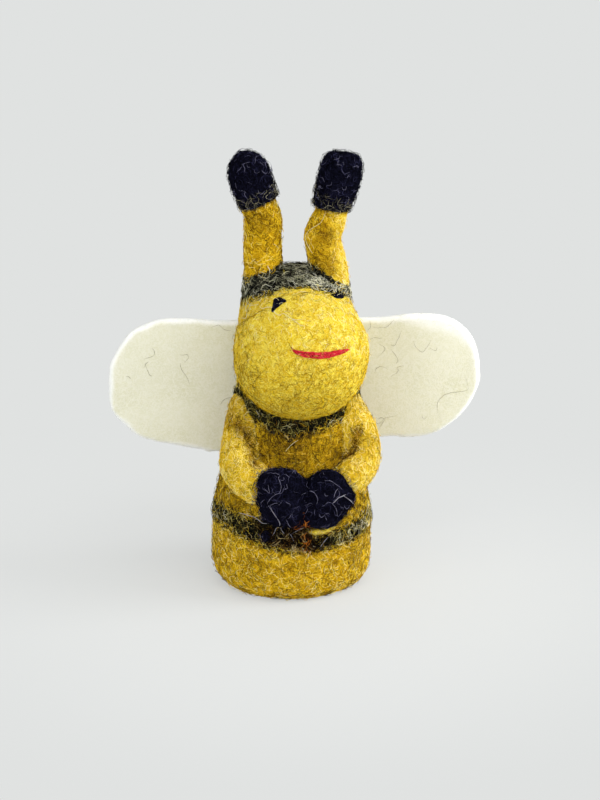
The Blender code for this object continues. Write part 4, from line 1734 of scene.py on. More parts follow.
RIGHT_EYE = FeltSpot(
    "right_eye_spot",
    (
        (-4.5, -8.2, 76.8), (-3.5, -8.5, 77.0), (-2.4, -9.5, 77.0), (-1.7, -10.4, 76.6),
        (-2.8, -10.8, 76.0), (-3.5, -11.2, 75.5), (-4.3, -11.5, 75.0), (-4.9, -11.9, 74.3),
        (-5.4, -11.3, 74.6), (-5.1, -10.6, 75.3), (-5.0, -9.7, 75.9),
    ),
)
LEFT_EYE = FeltSpot(
    "left_eye_spot",
    (
        (9.1, -5.5, 76.8), (10.1, -4.2, 76.6), (11.3, -2.8, 76.0), (12.2, -2.4, 75.1),
        (11.5, -4.3, 75.3), (10.4, -6.2, 76.0), (9.4, -6.3, 76.5),
    ),
)
EYE_LINES: tuple[tuple[Route, float], ...] = (
    (((-2.4, -9.7, 76.6), (-3.6, -10.0, 75.9), (-4.9, -11.5, 74.6)), 1.7),
    (((9.4, -5.9, 76.4), (10.6, -4.4, 76.0), (12.0, -2.9, 75.4)), 1.2),
)
BLACK_LUMP = FeltSpot(
    "black_lump",
    (
        (-5.6, -15.6, 18.1), (-6.2, -15.3, 19.3), (-7.6, -14.7, 19.3), (-8.2, -14.4, 18.0),
        (-7.5, -14.7, 16.7), (-6.2, -15.3, 16.7),
    ),
    proud=0.8,
)
YELLOW_PATCH = FeltSpot(
    "yellow_patch",
    (
        (3.4, -15.6, 19.2), (5.5, -15.0, 18.1), (8.0, -14.0, 18.4), (10.2, -13.0, 19.3),
        (10.6, -13.2, 20.5), (8.4, -14.4, 20.9), (6.0, -15.2, 20.3), (4.2, -15.6, 19.7),
    ),
    proud=0.8,
)
EYE_STRANDS = Strands(
    "eye_strands", YELLOW_STRANDS, Slot.BLACK,
    (
        ((-4.9, -9.0, 76.4), (-4.0, -9.2, 76.6), (-3.0, -10.4, 76.0), (-2.9, -10.9, 75.8)),
        ((-5.0, -9.8, 75.7), (-4.4, -9.8, 75.9), (-3.6, -10.6, 75.6)),
        ((-5.3, -9.6, 75.4), (-4.2, -9.3, 76.3), (-3.2, -8.9, 76.9)),
        ((-5.1, -10.6, 75.0), (-3.8, -10.0, 76.0), (-2.6, -9.6, 76.7)),
        ((-4.6, -11.4, 74.8), (-3.4, -10.6, 75.8), (-2.0, -10.2, 76.6)),
        ((9.6, -5.8, 76.2), (10.6, -4.6, 76.2), (11.6, -3.2, 75.8)),
    ),
    radius=0.042, rise=0.1, wave=0.25,
)
MOUTH_STRAND = Strands(
    "mouth_strand", YELLOW_STRANDS, Slot.RED,
    (((3.3, -18.9, 64.9), (4.0, -18.8, 65.5), (4.6, -18.7, 66.2), (5.4, -18.5, 66.5)),),
    radius=0.05, rise=0.15,
)
BODY_THREADS = Strands(
    "body_threads", YELLOW_STRANDS, Slot.GOLDEN,
    (
        (
            (7.4, -0.9, 96.3), (7.2, -0.6, 94.6), (6.7, -0.2, 93.3), (5.3, 0.2, 92.0),
            (3.9, 1.3, 90.4), (3.3, 1.6, 88.8), (4.0, 0.3, 86.6), (4.7, -0.3, 85.5),
        ),
        ((1.0, -11.6, 41.7), (-0.9, -11.8, 40.2), (-1.9, -12.0, 38.8)),
    ),
    radius=0.06, rise=0.35,
)
MOUTH = StrandMouth(
    (
        (-0.7, -18.1, 67.8), (-0.1, -18.4, 67.1), (1.0, -18.6, 66.5), (2.4, -18.8, 66.2),
        (4.3, -18.7, 65.9), (6.2, -18.4, 65.7), (8.1, -17.9, 65.7), (10.0, -17.0, 65.8),
        (11.7, -16.1, 65.9), (13.3, -14.8, 66.0),
    ),
    (0.04, 0.12, 0.46, 0.56, 0.76, 0.84, 0.7, 0.6, 0.36, 0.06),
)
FACE_THREADS = Strands(
    "yellow_threads", YELLOW_STRANDS, Slot.BRIGHT,
    (
        (
            (-11.3, -2.0, 74.1), (-10.4, -4.7, 73.7), (-9.7, -5.8, 74.0), (-8.7, -6.9, 74.5),
            (-7.4, -9.6, 74.4), (-6.7, -9.9, 74.8), (-5.3, -10.7, 75.2), (-4.8, -11.6, 74.7),
            (-4.3, -12.4, 74.2), (-3.3, -13.1, 74.0), (-2.4, -13.1, 74.4), (-0.7, -14.3, 73.6),
            (0.0, -14.7, 73.4), (1.4, -14.7, 73.4), (2.9, -14.6, 73.5),
        ),
        ((-0.7, -14.3, 73.6), (1.0, -15.3, 72.7), (1.7, -15.7, 72.3), (2.9, -15.9, 72.1)),
        (
            (-11.2, -3.4, 73.4), (-11.6, -3.7, 72.5), (-11.2, -6.4, 72.1), (-11.3, -7.5, 71.4),
            (-11.8, -6.7, 71.0), (-12.6, -3.2, 70.1),
        ),
    ),
    radius=0.08,
)
FACE_HAIRS = Strands(
    "face_hairs", BROWN_STRANDS, Slot.GOLDEN,
    (
        (
            (-5.5, -11.4, 74.5), (-7.3, -10.1, 74.1), (-8.5, -9.6, 73.4), (-9.9, -9.2, 72.3),
            (-11.6, -7.6, 70.7), (-12.9, -5.6, 69.1), (-13.5, -4.2, 67.8),
        ),
        ((-10.6, -9.0, 71.5), (-12.3, -7.1, 69.7), (-13.2, -5.7, 68.5)),
        ((-1.1, -18.0, 68.4), (-0.5, -18.3, 67.5), (0.4, -18.5, 66.9)),
        (
            (-10.1, -11.3, 52.4), (-9.3, -14.1, 55.0), (-9.7, -14.5, 56.7), (-8.8, -15.9, 58.9),
            (-7.6, -16.8, 60.8), (-6.7, -17.4, 61.5),
        ),
    ),
    radius=0.06, rise=0.16,
)
HAND_STRANDS = Strands(
    "pale_hand_strands", PALE_STRANDS, Slot.BLACK,
    (
        (
            (-5.9, -21.3, 28.6), (-5.1, -21.8, 27.5), (-3.8, -21.7, 25.3), (-3.3, -21.3, 23.8),
            (-3.4, -21.0, 23.0),
        ),
        ((9.2, -20.4, 28.8), (11.0, -19.8, 29.9), (12.6, -18.9, 30.4)),
        ((11.9, -19.4, 30.3), (13.2, -18.4, 28.9), (14.2, -17.2, 27.4)),
    ),
    radius=0.075,
)
GREY_HAND_STRANDS = Strands(
    "grey_hand_strands", GREY_STRANDS, Slot.BLACK,
    (
        (
            (-5.6, -18.5, 34.4), (-4.6, -19.0, 35.0), (-3.7, -19.4, 35.3), (-3.4, -19.6, 35.2),
            (-3.7, -20.1, 34.5), (-3.1, -21.1, 33.3), (-3.4, -21.5, 32.2), (-4.6, -21.4, 31.4),
            (-5.8, -21.2, 29.9), (-6.1, -21.2, 29.0),
        ),
        ((-5.9, -21.3, 28.6), (-4.4, -21.9, 29.4), (-3.6, -22.0, 29.6)),
        (
            (1.8, -20.3, 30.9), (3.0, -18.6, 31.1), (4.8, -19.3, 31.2), (5.8, -20.1, 30.0),
            (5.7, -20.2, 28.3),
        ),
        (
            (2.8, -19.2, 30.0), (3.6, -18.9, 29.7), (3.6, -19.0, 28.7), (2.8, -19.1, 28.3),
            (2.2, -20.1, 29.4),
        ),
        ((9.2, -20.4, 28.8), (8.2, -20.5, 29.1), (6.8, -20.5, 28.0)),
        ((9.2, -20.4, 28.8), (10.1, -20.3, 27.5), (10.4, -20.0, 26.1), (10.5, -19.7, 25.0)),
        ((7.4, -18.8, 34.0), (9.0, -18.9, 33.8), (10.3, -19.0, 33.0), (11.8, -19.0, 31.7)),
        ((10.8, -19.3, 32.2), (10.0, -19.9, 31.2), (9.6, -20.3, 30.1)),
        ((7.4, -20.2, 25.7), (7.8, -19.8, 24.5)),
        ((-6.9, -20.6, 32.8), (-5.6, -20.9, 31.9), (-5.9, -20.6, 33.6)),
        ((-2.0, -21.2, 25.6), (-1.2, -20.6, 24.0), (-0.6, -20.2, 23.4)),
    ),
    radius=0.06, rise=0.24,
)
BELLY_STRANDS = Strands(
    "pale_belly_strands", PALE_STRANDS, Slot.DARK,
    (
        ((-3.8, -16.4, 21.2), (-4.4, -16.2, 20.0), (-5.0, -15.5, 18.4)),
        ((-3.7, -16.4, 21.3), (-3.0, -16.3, 20.2), (-2.1, -15.9, 18.9)),
        ((-1.4, -15.9, 19.3), (-0.6, -16.0, 18.7), (0.0, -16.0, 17.2)),
        ((-0.6, -16.0, 19.0), (1.8, -15.7, 20.4), (3.4, -15.4, 20.8)),
        ((8.3, -13.9, 17.5), (7.1, -14.5, 16.4), (6.1, -14.9, 14.8)),
        (
            (-13.2, -10.9, 22.5), (-11.6, -12.2, 22.6), (-9.5, -13.3, 22.4), (-7.6, -15.0, 21.4),
            (-5.8, -16.0, 21.6),
        ),
    ),
    radius=0.08, rise=0.6,
)
ORANGE_FIBRES = Strands(
    "orange_strands", ORANGE_STRANDS, Slot.GOLDEN,
    (
        ((2.3, -20.0, 28.7), (2.3, -19.8, 27.9), (2.2, -19.6, 27.2)),
        (
            (1.3, -19.8, 25.1), (2.2, -19.0, 24.0), (2.8, -17.0, 22.4), (3.4, -15.4, 20.9),
            (2.6, -15.5, 20.6),
        ),
        ((0.9, -19.8, 25.0), (1.5, -18.8, 23.6), (2.4, -16.6, 22.0), (2.9, -15.6, 21.2)),
        ((3.2, -15.6, 19.2), (2.6, -15.7, 18.7), (2.3, -15.8, 18.0)),
        ((3.9, -15.5, 17.6), (3.1, -15.7, 16.7), (2.9, -15.8, 15.4), (2.2, -15.9, 14.3)),
        ((4.1, -15.4, 17.4), (3.4, -15.6, 16.2), (3.0, -15.8, 15.6)),
    ),
    radius=0.1, rise=0.6,
)
WING_HAIRS: tuple[Pairs, ...] = (
    ((18.3, 60.1), (19.0, 61.7), (18.8, 63.4)),
    ((19.5, 61.3), (21.6, 61.0), (23.3, 61.5), (24.6, 63.3)),
    ((18.6, 58.0), (20.6, 58.4), (21.8, 57.9)),
    ((21.1, 56.7), (22.4, 55.9), (22.5, 54.8), (20.9, 53.4)),
    ((19.7, 48.6), (21.2, 50.6), (23.2, 50.2)),
    ((24.0, 47.8), (26.0, 49.3), (25.7, 50.3), (27.5, 50.9)),
    ((24.1, 56.5), (25.2, 56.5), (26.6, 60.4)), ((24.2, 55.3), (25.7, 52.8), (25.5, 51.4)),
    ((29.7, 57.6), (30.5, 55.6), (32.3, 54.8), (34.2, 58.1)),
    ((33.8, 55.6), (35.1, 55.1), (35.5, 56.2)),
    (
        (37.1, 35.3), (35.9, 38.4), (36.4, 41.3), (38.4, 43.1), (42.2, 43.6), (43.5, 44.7),
        (42.9, 47.5),
    ),
    (
        (18.8, 38.4), (19.8, 37.3), (19.3, 36.5), (21.1, 34.7), (22.1, 35.3), (22.6, 36.1),
        (25.4, 37.0),
    ),
    ((21.1, 35.9), (21.9, 36.5), (22.6, 35.6), (21.4, 33.3)),
    ((32.1, 37.0), (32.6, 36.0), (33.4, 36.5)),
    ((-37.3, 52.7), (-35.0, 53.5), (-34.7, 54.8), (-35.2, 55.6)),
    ((-37.1, 51.4), (-36.6, 49.7), (-35.9, 48.1), (-35.1, 47.9)),
    ((-37.4, 50.3), (-36.7, 51.4), (-36.1, 52.0)),
    ((-28.4, 52.0), (-28.0, 49.7), (-27.0, 48.1), (-26.0, 45.7)),
    ((-28.2, 53.7), (-26.6, 53.9), (-26.4, 52.8), (-27.4, 51.7)),
    ((-20.5, 61.2), (-18.7, 61.9), (-17.2, 60.6), (-15.4, 60.4)),
    ((-18.4, 40.1), (-17.1, 41.6), (-15.0, 42.4)), ((-42.0, 47.9), (-41.3, 47.8), (-40.7, 47.1)),
)


@dataclass(frozen=True)
class Wings:
    """Both wings, cut as one sheet of felt. Its outline is (across, height) in millimetres."""

    left: Pairs = (
        (17.2, 63.4), (21.5, 63.6), (27.6, 64.4), (32.4, 64.6), (36.7, 64.1), (39.2, 63.1),
        (41.6, 61.6), (44.1, 58.7), (45.8, 54.2), (46.4, 48.6), (46.2, 45.2), (44.5, 40.7),
        (42.3, 37.3), (39.3, 34.4), (36.0, 32.1), (32.2, 30.9), (27.1, 30.5), (21.9, 30.6),
    )
    right: Pairs = (
        (-18.8, 26.6), (-20.6, 26.8), (-25.7, 27.6), (-29.6, 28.4), (-34.5, 29.4), (-39.3, 31.0),
        (-42.3, 33.9), (-44.8, 36.5), (-46.2, 39.9), (-46.3, 46.4), (-45.7, 51.1), (-43.6, 55.3),
        (-40.7, 59.5), (-36.6, 61.9), (-32.3, 63.2), (-26.5, 63.3), (-20.2, 62.8), (-15.1, 62.7),
    )
    thickness: float = 2.6
    rounding: float = 1.2
    front: tuple[float, float, float] = (15.35, 63.0, 0.107)  # y, at z, and its rise downwards
    middle: float = 46.5  # the height of the line that the outline shrinks to
    spine: float = 29.0  # half that line's length
    flat: tuple[float, float] = (92.9, 35.2)
    area_share: float = 0.9
    pale_corner: tuple[float, ...] = (38.0, 63.0, 10.0, 7.0)  # x, z and reach both ways

    def depth(self, height: np.ndarray | float) -> np.ndarray | float:
        """How far back the wings' front lies at a height."""
        return self.front[0] + (self.front[1] - height) * self.front[2]

    def outline(self) -> np.ndarray:
        """The outline, a little uneven as cut felt is."""
        line = smooth_line(self.left + self.right, 6, closed=True)
        wobble = waver(np.c_[line, line[:, :1] * 0], 3.0, 4.0) * 0.12
        middle = np.array([0.0, self.middle])
        away = (line - middle) / np.linalg.norm(line - middle, axis=1)[:, None]
        return line + away * wobble[:, None]

    def ring(self) -> tuple[np.ndarray, np.ndarray]:
        """The outline once more, point by point with the place that each shrinks to.

        Above and below one another lie the same places across, so that the shrunk ring closes.

        Returns:
            The ring's points and their places on the middle line.
        """
        line = self.outline()
        across = np.linspace(-self.spine, self.spine, 60)
        runs = []
        for upper in (True, False):
            half = line[(line[:, 1] > self.middle) == upper]
            half = half[np.argsort(half[:, 0])]
            runs.append(np.c_[across, np.interp(across, half[:, 0], half[:, 1])])
        top, low = runs
        ends = []
        for side, first, last in ((1, top[-1], low[-1]), (-1, low[0], top[0])):
            part = line[line[:, 0] * side > self.spine]
            turn = np.arctan2(part[:, 1] - self.middle, (part[:, 0] * side - self.spine))
            part = np.vstack([first, part[np.argsort(-turn * side)], last])
            gone = np.r_[0, np.cumsum(np.linalg.norm(np.diff(part, axis=0), axis=1))]
            even = np.linspace(0, gone[-1], 42)[1:-1]
            ends.append(np.column_stack([np.interp(even, gone, row) for row in part.T]))
        ring = np.vstack([top, ends[0], low[::-1], ends[1]])
        heart = np.clip(ring, (-self.spine, self.middle), (self.spine, self.middle))
        return ring, heart

    def mesh(self) -> Mesh:
        """The closed sheet, with its layers."""
        rim, heart = self.ring()
        length = np.linalg.norm(rim - heart, axis=1)
        insets = [0.0, 0.05, 0.2, 0.5, 0.9, 1.3, 1.9] + list(np.linspace(2.8, 15.2, 14))
        rows: list[np.ndarray] = []
        for face in (-1, 1):
            side_rows = []
            for inset in insets:
                share = np.clip(inset / length, 0.0, 1.0)
                if inset == insets[-1]:
                    share = np.ones(len(rim))
                flat = rim + (heart - rim) * share[:, None]
                round_off = min(inset / self.rounding, 1.0)
                half = self.thickness / 2 * math.sqrt(1.0 - (1.0 - round_off) ** 2)
                depth = self.depth(flat[:, 1]) + self.thickness / 2
                sway = waver(np.c_[flat, flat[:, :1] * 0], 14.0, 8.0) * 0.3
                side_rows.append(np.c_[flat[:, 0], depth + sway + face * half, flat[:, 1]])
            rows += side_rows[::-1] if face < 0 else side_rows
        faces = ring_faces(len(rows), len(rim))
        mesh = mesh_from("wing_sheet", np.vstack(rows) * MM, faces)
        self.paint(mesh)
        return mesh

    def paint(self, mesh: Mesh) -> None:
        """Writes where the sheet is pale, near its rim and most at one corner.

        Args:
            mesh: The sheet.
        """
        rim, flat = self.outline() * MM, places(mesh)
        gap = route_gaps(flat[:, ::2], np.vstack([rim, rim[:1]])) / MM
        x, z, reach_x, reach_z = self.pale_corner
        away = ((flat[:, 0] / MM - x) / reach_x) ** 2 + ((flat[:, 2] / MM - z) / reach_z) ** 2
        reach = 1.0 + 3.4 * np.exp(-away) + 0.6 * waver(flat, 4 * MM, 6.0)
        set_layer(mesh, Layer.GLOW, 0.9 * (1.0 - ease(gap / np.clip(reach, 0.4, None), 0.2, 1.5)))
        set_layer(mesh, Layer.FLEECE, 1.0)

    def build(self, rests_on: Object) -> Object:
        """Makes the wings.

        Args:
            rests_on: The piece that the wings are sewn to; not used.

        Returns:
            The piece.
        """
        piece = dressed("felt_wings", self.mesh(), WING_FELT)
        return ready(piece, Slot.FELT, "wings")

    def hairs(self, sheet: Mesh) -> Object:
        """Lays the thin dark hairs that cling to the wings' front.

        Args:
            sheet: The wings' mesh.

        Returns:
            The piece.
        """
        routes = tuple(tuple((x, self.depth(z), z) for x, z in hair) for hair in WING_HAIRS)
        strands = Strands(
            "wing_hairs", HAIR_STRANDS, Slot.FELT, routes, radius=0.038, rise=0.04, wave=0.2
        )
        return strands.build(search_tree(sheet))


@dataclass(frozen=True)
class Sewing:
    """The sewing thread down the wings' back, in millimetres."""

    stitches: int = 4
    plies: int = 3
    twists: float = 1.6
    spread: float = 0.2  # from the thread's middle to a ply's
    ply: float = 0.24  # a ply's radius
    bow: float = 0.25

    def build(self) -> None:
        """Makes the stitches, each of twisted plies."""
        share = np.linspace(0, 1, 25)
        for i in range(1, self.stitches + 1):
            corners = places(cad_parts[f"wing_stitch_{i}"].data)
            low, high = corners.min(axis=0), corners.max(axis=0)
            top = np.array([(low[0] + high[0]) / 2, low[1] + 0.35 * MM, high[2]])
            bottom = np.array([(low[0] + high[0]) / 2, high[1] - 0.55 * MM, low[2]])
            line = top + (bottom - top) * share[:, None]
            line[:, 1] += self.bow * MM * np.sin(share * math.pi) - 0.15 * MM
            routes = []
            for ply in range(self.plies):
                turn = share * 2 * math.pi * self.twists + ply * 2 * math.pi / self.plies
                offset = np.c_[np.cos(turn), np.sin(turn), share * 0] * self.spread * MM
                routes.append((line + offset, np.full(len(line), self.ply * MM)))
            piece = dressed(f"thread_{i}", tubes(f"thread_{i}", routes, 8), THREAD_FINISH)
            ready(piece, Slot.THREAD, f"wing_stitch_{i}")


@dataclass(frozen=True)
class View:
    """The photograph's viewing angle."""

    elevation: float = 20.0
    distance: float = 0.8
    pixels_for_metre: float = 4080.0
    look_at: Place = (-0.0007, 0.00215, 0.050)
    shown_at: tuple[float, float] = (291.0, 388.4)
    frame_size: tuple[int, int] = (600, 800)
    sensor: float = 36.0

    def camera(self) -> None:
        """Makes the scene's camera."""
        data = bpy.data.cameras.new("camera")
        data.sensor_width = self.sensor
        focal = self.pixels_for_metre * self.distance
        data.lens = data.sensor_width * focal / max(self.frame_size)
        data.clip_start, data.clip_end = 0.05, 20.0
        camera = bpy.data.objects.new("camera", data)
        bpy.context.scene.collection.objects.link(camera)
        tilt = math.radians(self.elevation)
        ahead = Vector((0.0, math.cos(tilt), -math.sin(tilt)))
        up = Vector((0.0, math.sin(tilt), math.cos(tilt)))
        across = (self.frame_size[0] / 2 - self.shown_at[0]) / self.pixels_for_metre
        down = (self.frame_size[1] / 2 - self.shown_at[1]) / self.pixels_for_metre
        aim = Vector(self.look_at) - ahead * self.distance
        camera.location = aim + Vector((across, 0, 0)) - up * down
        camera.rotation_euler = (math.pi / 2 - tilt, 0.0, 0.0)
        bpy.context.scene.camera = camera


@dataclass(frozen=True)
class Studio:
    """The floor, the pale surroundings and the soft lamps."""

    backdrop: Colour = (224, 226, 225)
    floor_colour: Colour = (222, 224, 223)
    floor_size: float = 4.0
    shadow: tuple[float, float] = (0.03, 0.13)  # where the soft shadow starts to fade and ends
    plain: tuple[float, float] = (0.6, 0.4)  # how plain the floor looks there, and how much more
    surroundings: float = 0.47
    lamps: tuple[tuple[str, Place, float, float], ...] = (  # name, place, watts and size
        ("key_lamp", (0.50, -1.0, 1.2), 16.5, 1.5),
        ("side_lamp", (1.0, -0.12, 0.45), 9.8, 0.6),
        ("fill_lamp", (-0.8, -0.9, 0.35), 5.6, 0.8),
    )

    def floor(self) -> None:
        """A large plain floor that keeps a soft shadow near the puppet."""
        half = self.floor_size / 2
        mesh = bpy.data.meshes.new("floor")
        corners = [(-half, -half, 0), (half, -half, 0), (half, half, 0), (-half, half, 0)]
        mesh.from_pydata(corners, [], [(0, 1, 2, 3)])
        made, w, shader = new_material("plain_floor")
        colour = linear(self.floor_colour)
        w.fill(shader, {"Base Color": colour, "Roughness": 1.0, "Specular IOR Level": 0.0})
        away = w.vector("LENGTH", w.add("ShaderNodeTexCoord").outputs["Object"])
        far = w.out(
            "ShaderNodeMapRange", away, *self.shadow, 0.0, 1.0, interpolation_type="SMOOTHSTEP"
        )
        seen = w.add("ShaderNodeLightPath").outputs["Is Camera Ray"]
        plain = w.out("ShaderNodeEmission", linear(self.backdrop), 1.0)
        least, more = self.plain
        share = w.math("MULTIPLY", w.math("MULTIPLY_ADD", far, more, least), seen)
        lit = w.out("ShaderNodeMixShader", share, shader.outputs[0], plain)
        under = w.add("ShaderNodeNewGeometry").outputs["Backfacing"]
        clear = w.out("ShaderNodeBsdfTransparent")
        both = w.out("ShaderNodeMixShader", under, lit, clear)
        w.fill(w.tree.nodes["Material Output"], {"Surface": both})
        mesh.materials.append(made)
        floor = add_piece("floor", mesh)
        floor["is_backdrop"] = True

    def world(self) -> None:
        """Even surroundings, which the camera sees as the backdrop."""
        world = bpy.data.worlds.new("surroundings")
        world.use_nodes = True
        w = Wiring(world.node_tree)
        light = w.tree.nodes["Background"]
        w.fill(light, {"Color": (1.0, 1.0, 1.0, 1.0), "Strength": self.surroundings})
        shown = w.out("ShaderNodeBackground", linear(self.backdrop), 1.0)
        seen = w.add("ShaderNodeLightPath").outputs["Is Camera Ray"]
        both = w.out("ShaderNodeMixShader", seen, light.outputs[0], shown)
        w.fill(w.tree.nodes["World Output"], {"Surface": both})
        bpy.context.scene.world = world

    def lamp(self, name: str, place: Place, power: float, size: float) -> None:
        """One soft lamp that faces the puppet.

        Args:
            name: The lamp's name.
            place: Where it stands.
            power: Its power in watts.
            size: The length of its side.
        """
        data = bpy.data.lights.new(name, "AREA")
        data.energy, data.size = power, size
        lamp = bpy.data.objects.new(name, data)
        bpy.context.scene.collection.objects.link(lamp)
        lamp.location = place
        towards = Vector((0, 0, 0.05)) - Vector(place)
        lamp.rotation_euler = towards.to_track_quat("-Z", "Y").to_euler()

    def build(self) -> None:
        """Sets the studio up."""
        bpy.context.scene.view_settings.view_transform = "Standard"
        self.floor()
        self.world()
        for lamp in self.lamps:
            self.lamp(*lamp)


def clear_of_eyes(points: np.ndarray) -> np.ndarray:
    """How many of the fibres lie at each point, so that nearly none lie on the eyes.

    Args:
        points: The places, one a row.

    Returns:
        From nearly 0 on the eyes to 1.
    """
    out = np.ones(len(points))
    for line, reach in EYE_LINES:
        gap = route_gaps(points, smooth_line(line, 4) * MM)
        out *= 0.04 + 0.96 * ease(gap, 0.8 * reach * MM, 1.25 * reach * MM)
    return out


# dark fibres paint shadow under and behind the hands, and shade among brown hairs on the chest
UNDER_HANDS = FrontPatch(0.5, 18.0, 8.0, 4.8)
BEHIND_HANDS = FrontPatch(-0.5, 20.5, 5.5, 4.0)
LOW_TUFT = FrontPatch(3.0, 16.6, 0.9, 2.2)
CHEST = FrontPatch(0.0, 40.0, 9.0, 5.5)
TUFT_ON_HANDS = Swelling((2.2, -19.0, 23.8), 1.7)
DARK_CROWN = Swelling((-0.6, -1.0, 83.6), 2.8)


@dataclass
class Fibres:
    """All the loose fibres of the puppet."""

    pieces: dict[str, Object]
    body: HollowBody
    seed: int = 11

    def lay(
        self,
        name: str,
        on: str,
        fleece: Fleece,
        finish: FibreFinish,
        where: np.ndarray | None = None,
        slot: Slot | None = None,
    ) -> None:
        """Lays one lot of fibres.

        Args:
            name: The lot's name.
            on: The piece that they lie on.
            fleece: How they lie.
            finish: Their finish.
            where: How many of them lie at each point, or None for all.
            slot: The material slot, or None for the finish's own.
        """
        self.seed += 1
        fleece.lay("fibres_" + name, self.pieces[on].data, finish, self.seed, where, slot)

    def surface(self, name: str) -> tuple[Mesh, np.ndarray]:
        """A piece's mesh and its points."""
        mesh = self.pieces[name].data
        return mesh, places(mesh)

    def build(self) -> None:
        """Lays every lot."""
        self.on_body()
        self.on_face()
        self.on_dark_layers()
        for side in SIDES:
            self.on_arm(side)
            self.on_feeler(side)

    def on_body(self) -> None:
        """The golden wool of the body from the hem up, the darker wool on it and dark fibres as
        painted shade.
        """
        mesh, points = self.surface("body")
        height = points[:, 2] / MM
        waist, neck = ease(height, 23.9, 24.1), ease(height, 49.9, 50.1)
        gap = distances(search_tree(self.pieces["head_cap"].data), points, 3 * MM)
        bare = ease(gap, -0.2 * MM, 0.5 * MM) * clear_of_eyes(points)
        front = 0.6 + 0.4 * ease(-points[:, 1] / MM, -8.0, 2.0)
        low = 0.08 * (1.0 - ease(height, 12, 20))
        # darker fibres where the marks paint shade
        set_layer(mesh, Layer.LEAN, low - 0.2 * shade("body", points) * (1.0 - neck))
        self.lay("hem", "body", WOOL, GOLDEN_FIBRES, (1.0 - waist) * front)
        self.lay("belly", "body", WOOL, GOLDEN_FIBRES, waist * (1.0 - neck) * front)
        self.lay("forehead", "body", FOREHEAD_WOOL, BRIGHT_FIBRES, neck * bare * front)
        soot = np.max([
            NECK_BAND.cover(points, self.body, 2.2),
            BELLY_BAND.cover(points, self.body, 2.2),
            0.5 * BELLY_BAND.haze(points, self.body),
        ], axis=0)
        self.lay("band_strays", "body", BAND_STRAYS, BAND_FIBRES, soot)
        cap = HEAD_CAP.cover(points, self.body, 1.8) * clear_of_eyes(points)
        self.lay("cap_strays", "body", CAP_STRAYS, CAP_FIBRES, cap)
        # dark fibres under and behind the hands: painted shadow
        hanging = UNDER_HANDS.strength(self.surface("belly_band")[1])
        self.lay("under_hands", "belly_band", HAND_SHADOW, UMBER_FIBRES, hanging)
        self.lay("behind_hands", "body", HAND_SHADOW, UMBER_FIBRES, BEHIND_HANDS.strength(points))
        self.lay("orange_low", "body", BELLY_TUFT, ORANGE_WOOL, LOW_TUFT.strength(points))
        # the chest's darker patch: painted shade under the face, with brown hairs
        chest = CHEST.strength(points)
        self.lay("chest_hairs_and_shade", "body", CHEST_HAIRS_AND_SHADE, UMBER_FIBRES, chest, Slot.DARK)
        self.lay("body_hairs", "body", HAIRS, HAIR_FIBRES, (1.0 - neck) * front)

    def on_face(self) -> None:
        """The face's fine bright wool, with a few brown hairs at its right."""
        mesh, points = self.surface("muzzle")
        x, y, z = (points / MM).T
        # darker towards the bottom and lighter at the sides, most towards the puppet's left:
        # partly painted light and shade, partly wool of other tones
        lean = 0.32 * ease(z, 55, 73) - 0.27
        lean += 0.14 * ease(x, 8.0, 13.0) + 0.06 * ease(-x, 8.0, 13.0)
        set_layer(mesh, Layer.LEAN, lean)
        clear = clear_of_eyes(points)
        front = (0.35 + 0.65 * ease(-y, -2.0, 3.0)) * clear
        self.lay("face", "muzzle", FACE_WOOL, BRIGHT_FIBRES, front)
        left = 0.12 + 0.88 * ease(-x, 6.0, 10.0) * (y < 0)
        self.lay("face_hairs", "muzzle", CHEEK_HAIRS, BROWN_FIBRES, left)
        under_cap = HEAD_CAP.cover(points, self.body, 3.2) * clear
        self.lay("brow_strays", "muzzle", BROW_STRAYS, HAIR_FIBRES, under_cap)

    def on_dark_layers(self) -> None:
        """The dark wool of the cap and the two bands."""
        cap, points = self.surface("head_cap")
        # lighter towards the puppet's left, the lit side: partly painted light, partly paler wool
        lean = 0.4 * ease(points[:, 0] / MM, -4.0, 7.0) - 0.1 - 0.5 * DARK_CROWN.strength(points)
        set_layer(cap, Layer.LEAN, lean + 0.4 * waver(points / MM, 1.3, 3.0))
        self.lay("cap", "head_cap", CAP_WOOL, CAP_FIBRES, clear_of_eyes(points))
        neck, points = self.surface("neck_band")
        set_layer(neck, Layer.LEAN, 0.3 * waver(points / MM, 1.3, 7.0) - 0.14)
        self.lay("neck", "neck_band", NECK_WOOL, BAND_FIBRES)
        belly, points = self.surface("belly_band")
        lean = 0.2 * ease(points[:, 0] / MM, 4.0, 12.0) - 0.05
        # darker fibres under the hands: painted shadow
        lean -= 0.7 * UNDER_HANDS.strength(points)
        set_layer(belly, Layer.LEAN, lean + 0.25 * waver(points / MM, 1.3, 5.0))
        self.lay("belly_band", "belly_band", BELLY_WOOL, BAND_FIBRES)

    def on_arm(self, side: str) -> None:
        """The wool of one arm and hand.

        Args:
            side: The puppet's own side.
        """
        arm, hand = side + "_arm", side + "_hand"
        (mesh, points), (fist, ends) = self.surface(arm), self.surface(hand)
        # lighter arm wool, with darker fibres where the marks paint shade
        set_layer(mesh, Layer.LEAN, 0.27 - 0.22 * shade(arm, points))
        set_layer(mesh, Layer.GLOW, 0.5)
        self.lay(arm, arm, LIMB_WOOL, GOLDEN_FIBRES)
        self.lay(arm + "_hairs", arm, replace(HAIRS, density=0.22), HAIR_FIBRES)
        # dark fibres along the fold: painted shade
        fold = FOLDS[arm].crease * FOLDS[arm].strength(points)
        self.lay(side + "_fold", arm, FOLD_WOOL, UMBER_FIBRES, fold, Slot.GOLDEN)
        gap = distances(search_tree(fist), points, 3 * MM)
        wrist = 1.0 - ease(gap, 0.2 * MM, 1.8 * MM)
        self.lay(side + "_wrist", arm, WRIST_WOOL, BLACK_FIBRES, wrist)
        self.lay(hand, hand, BLACK_WOOL, BLACK_FIBRES)
        tuft = TUFT_ON_HANDS.strength(ends) ** 1.5
        self.lay(side + "_orange", hand, HAND_TUFT, ORANGE_WOOL, tuft)

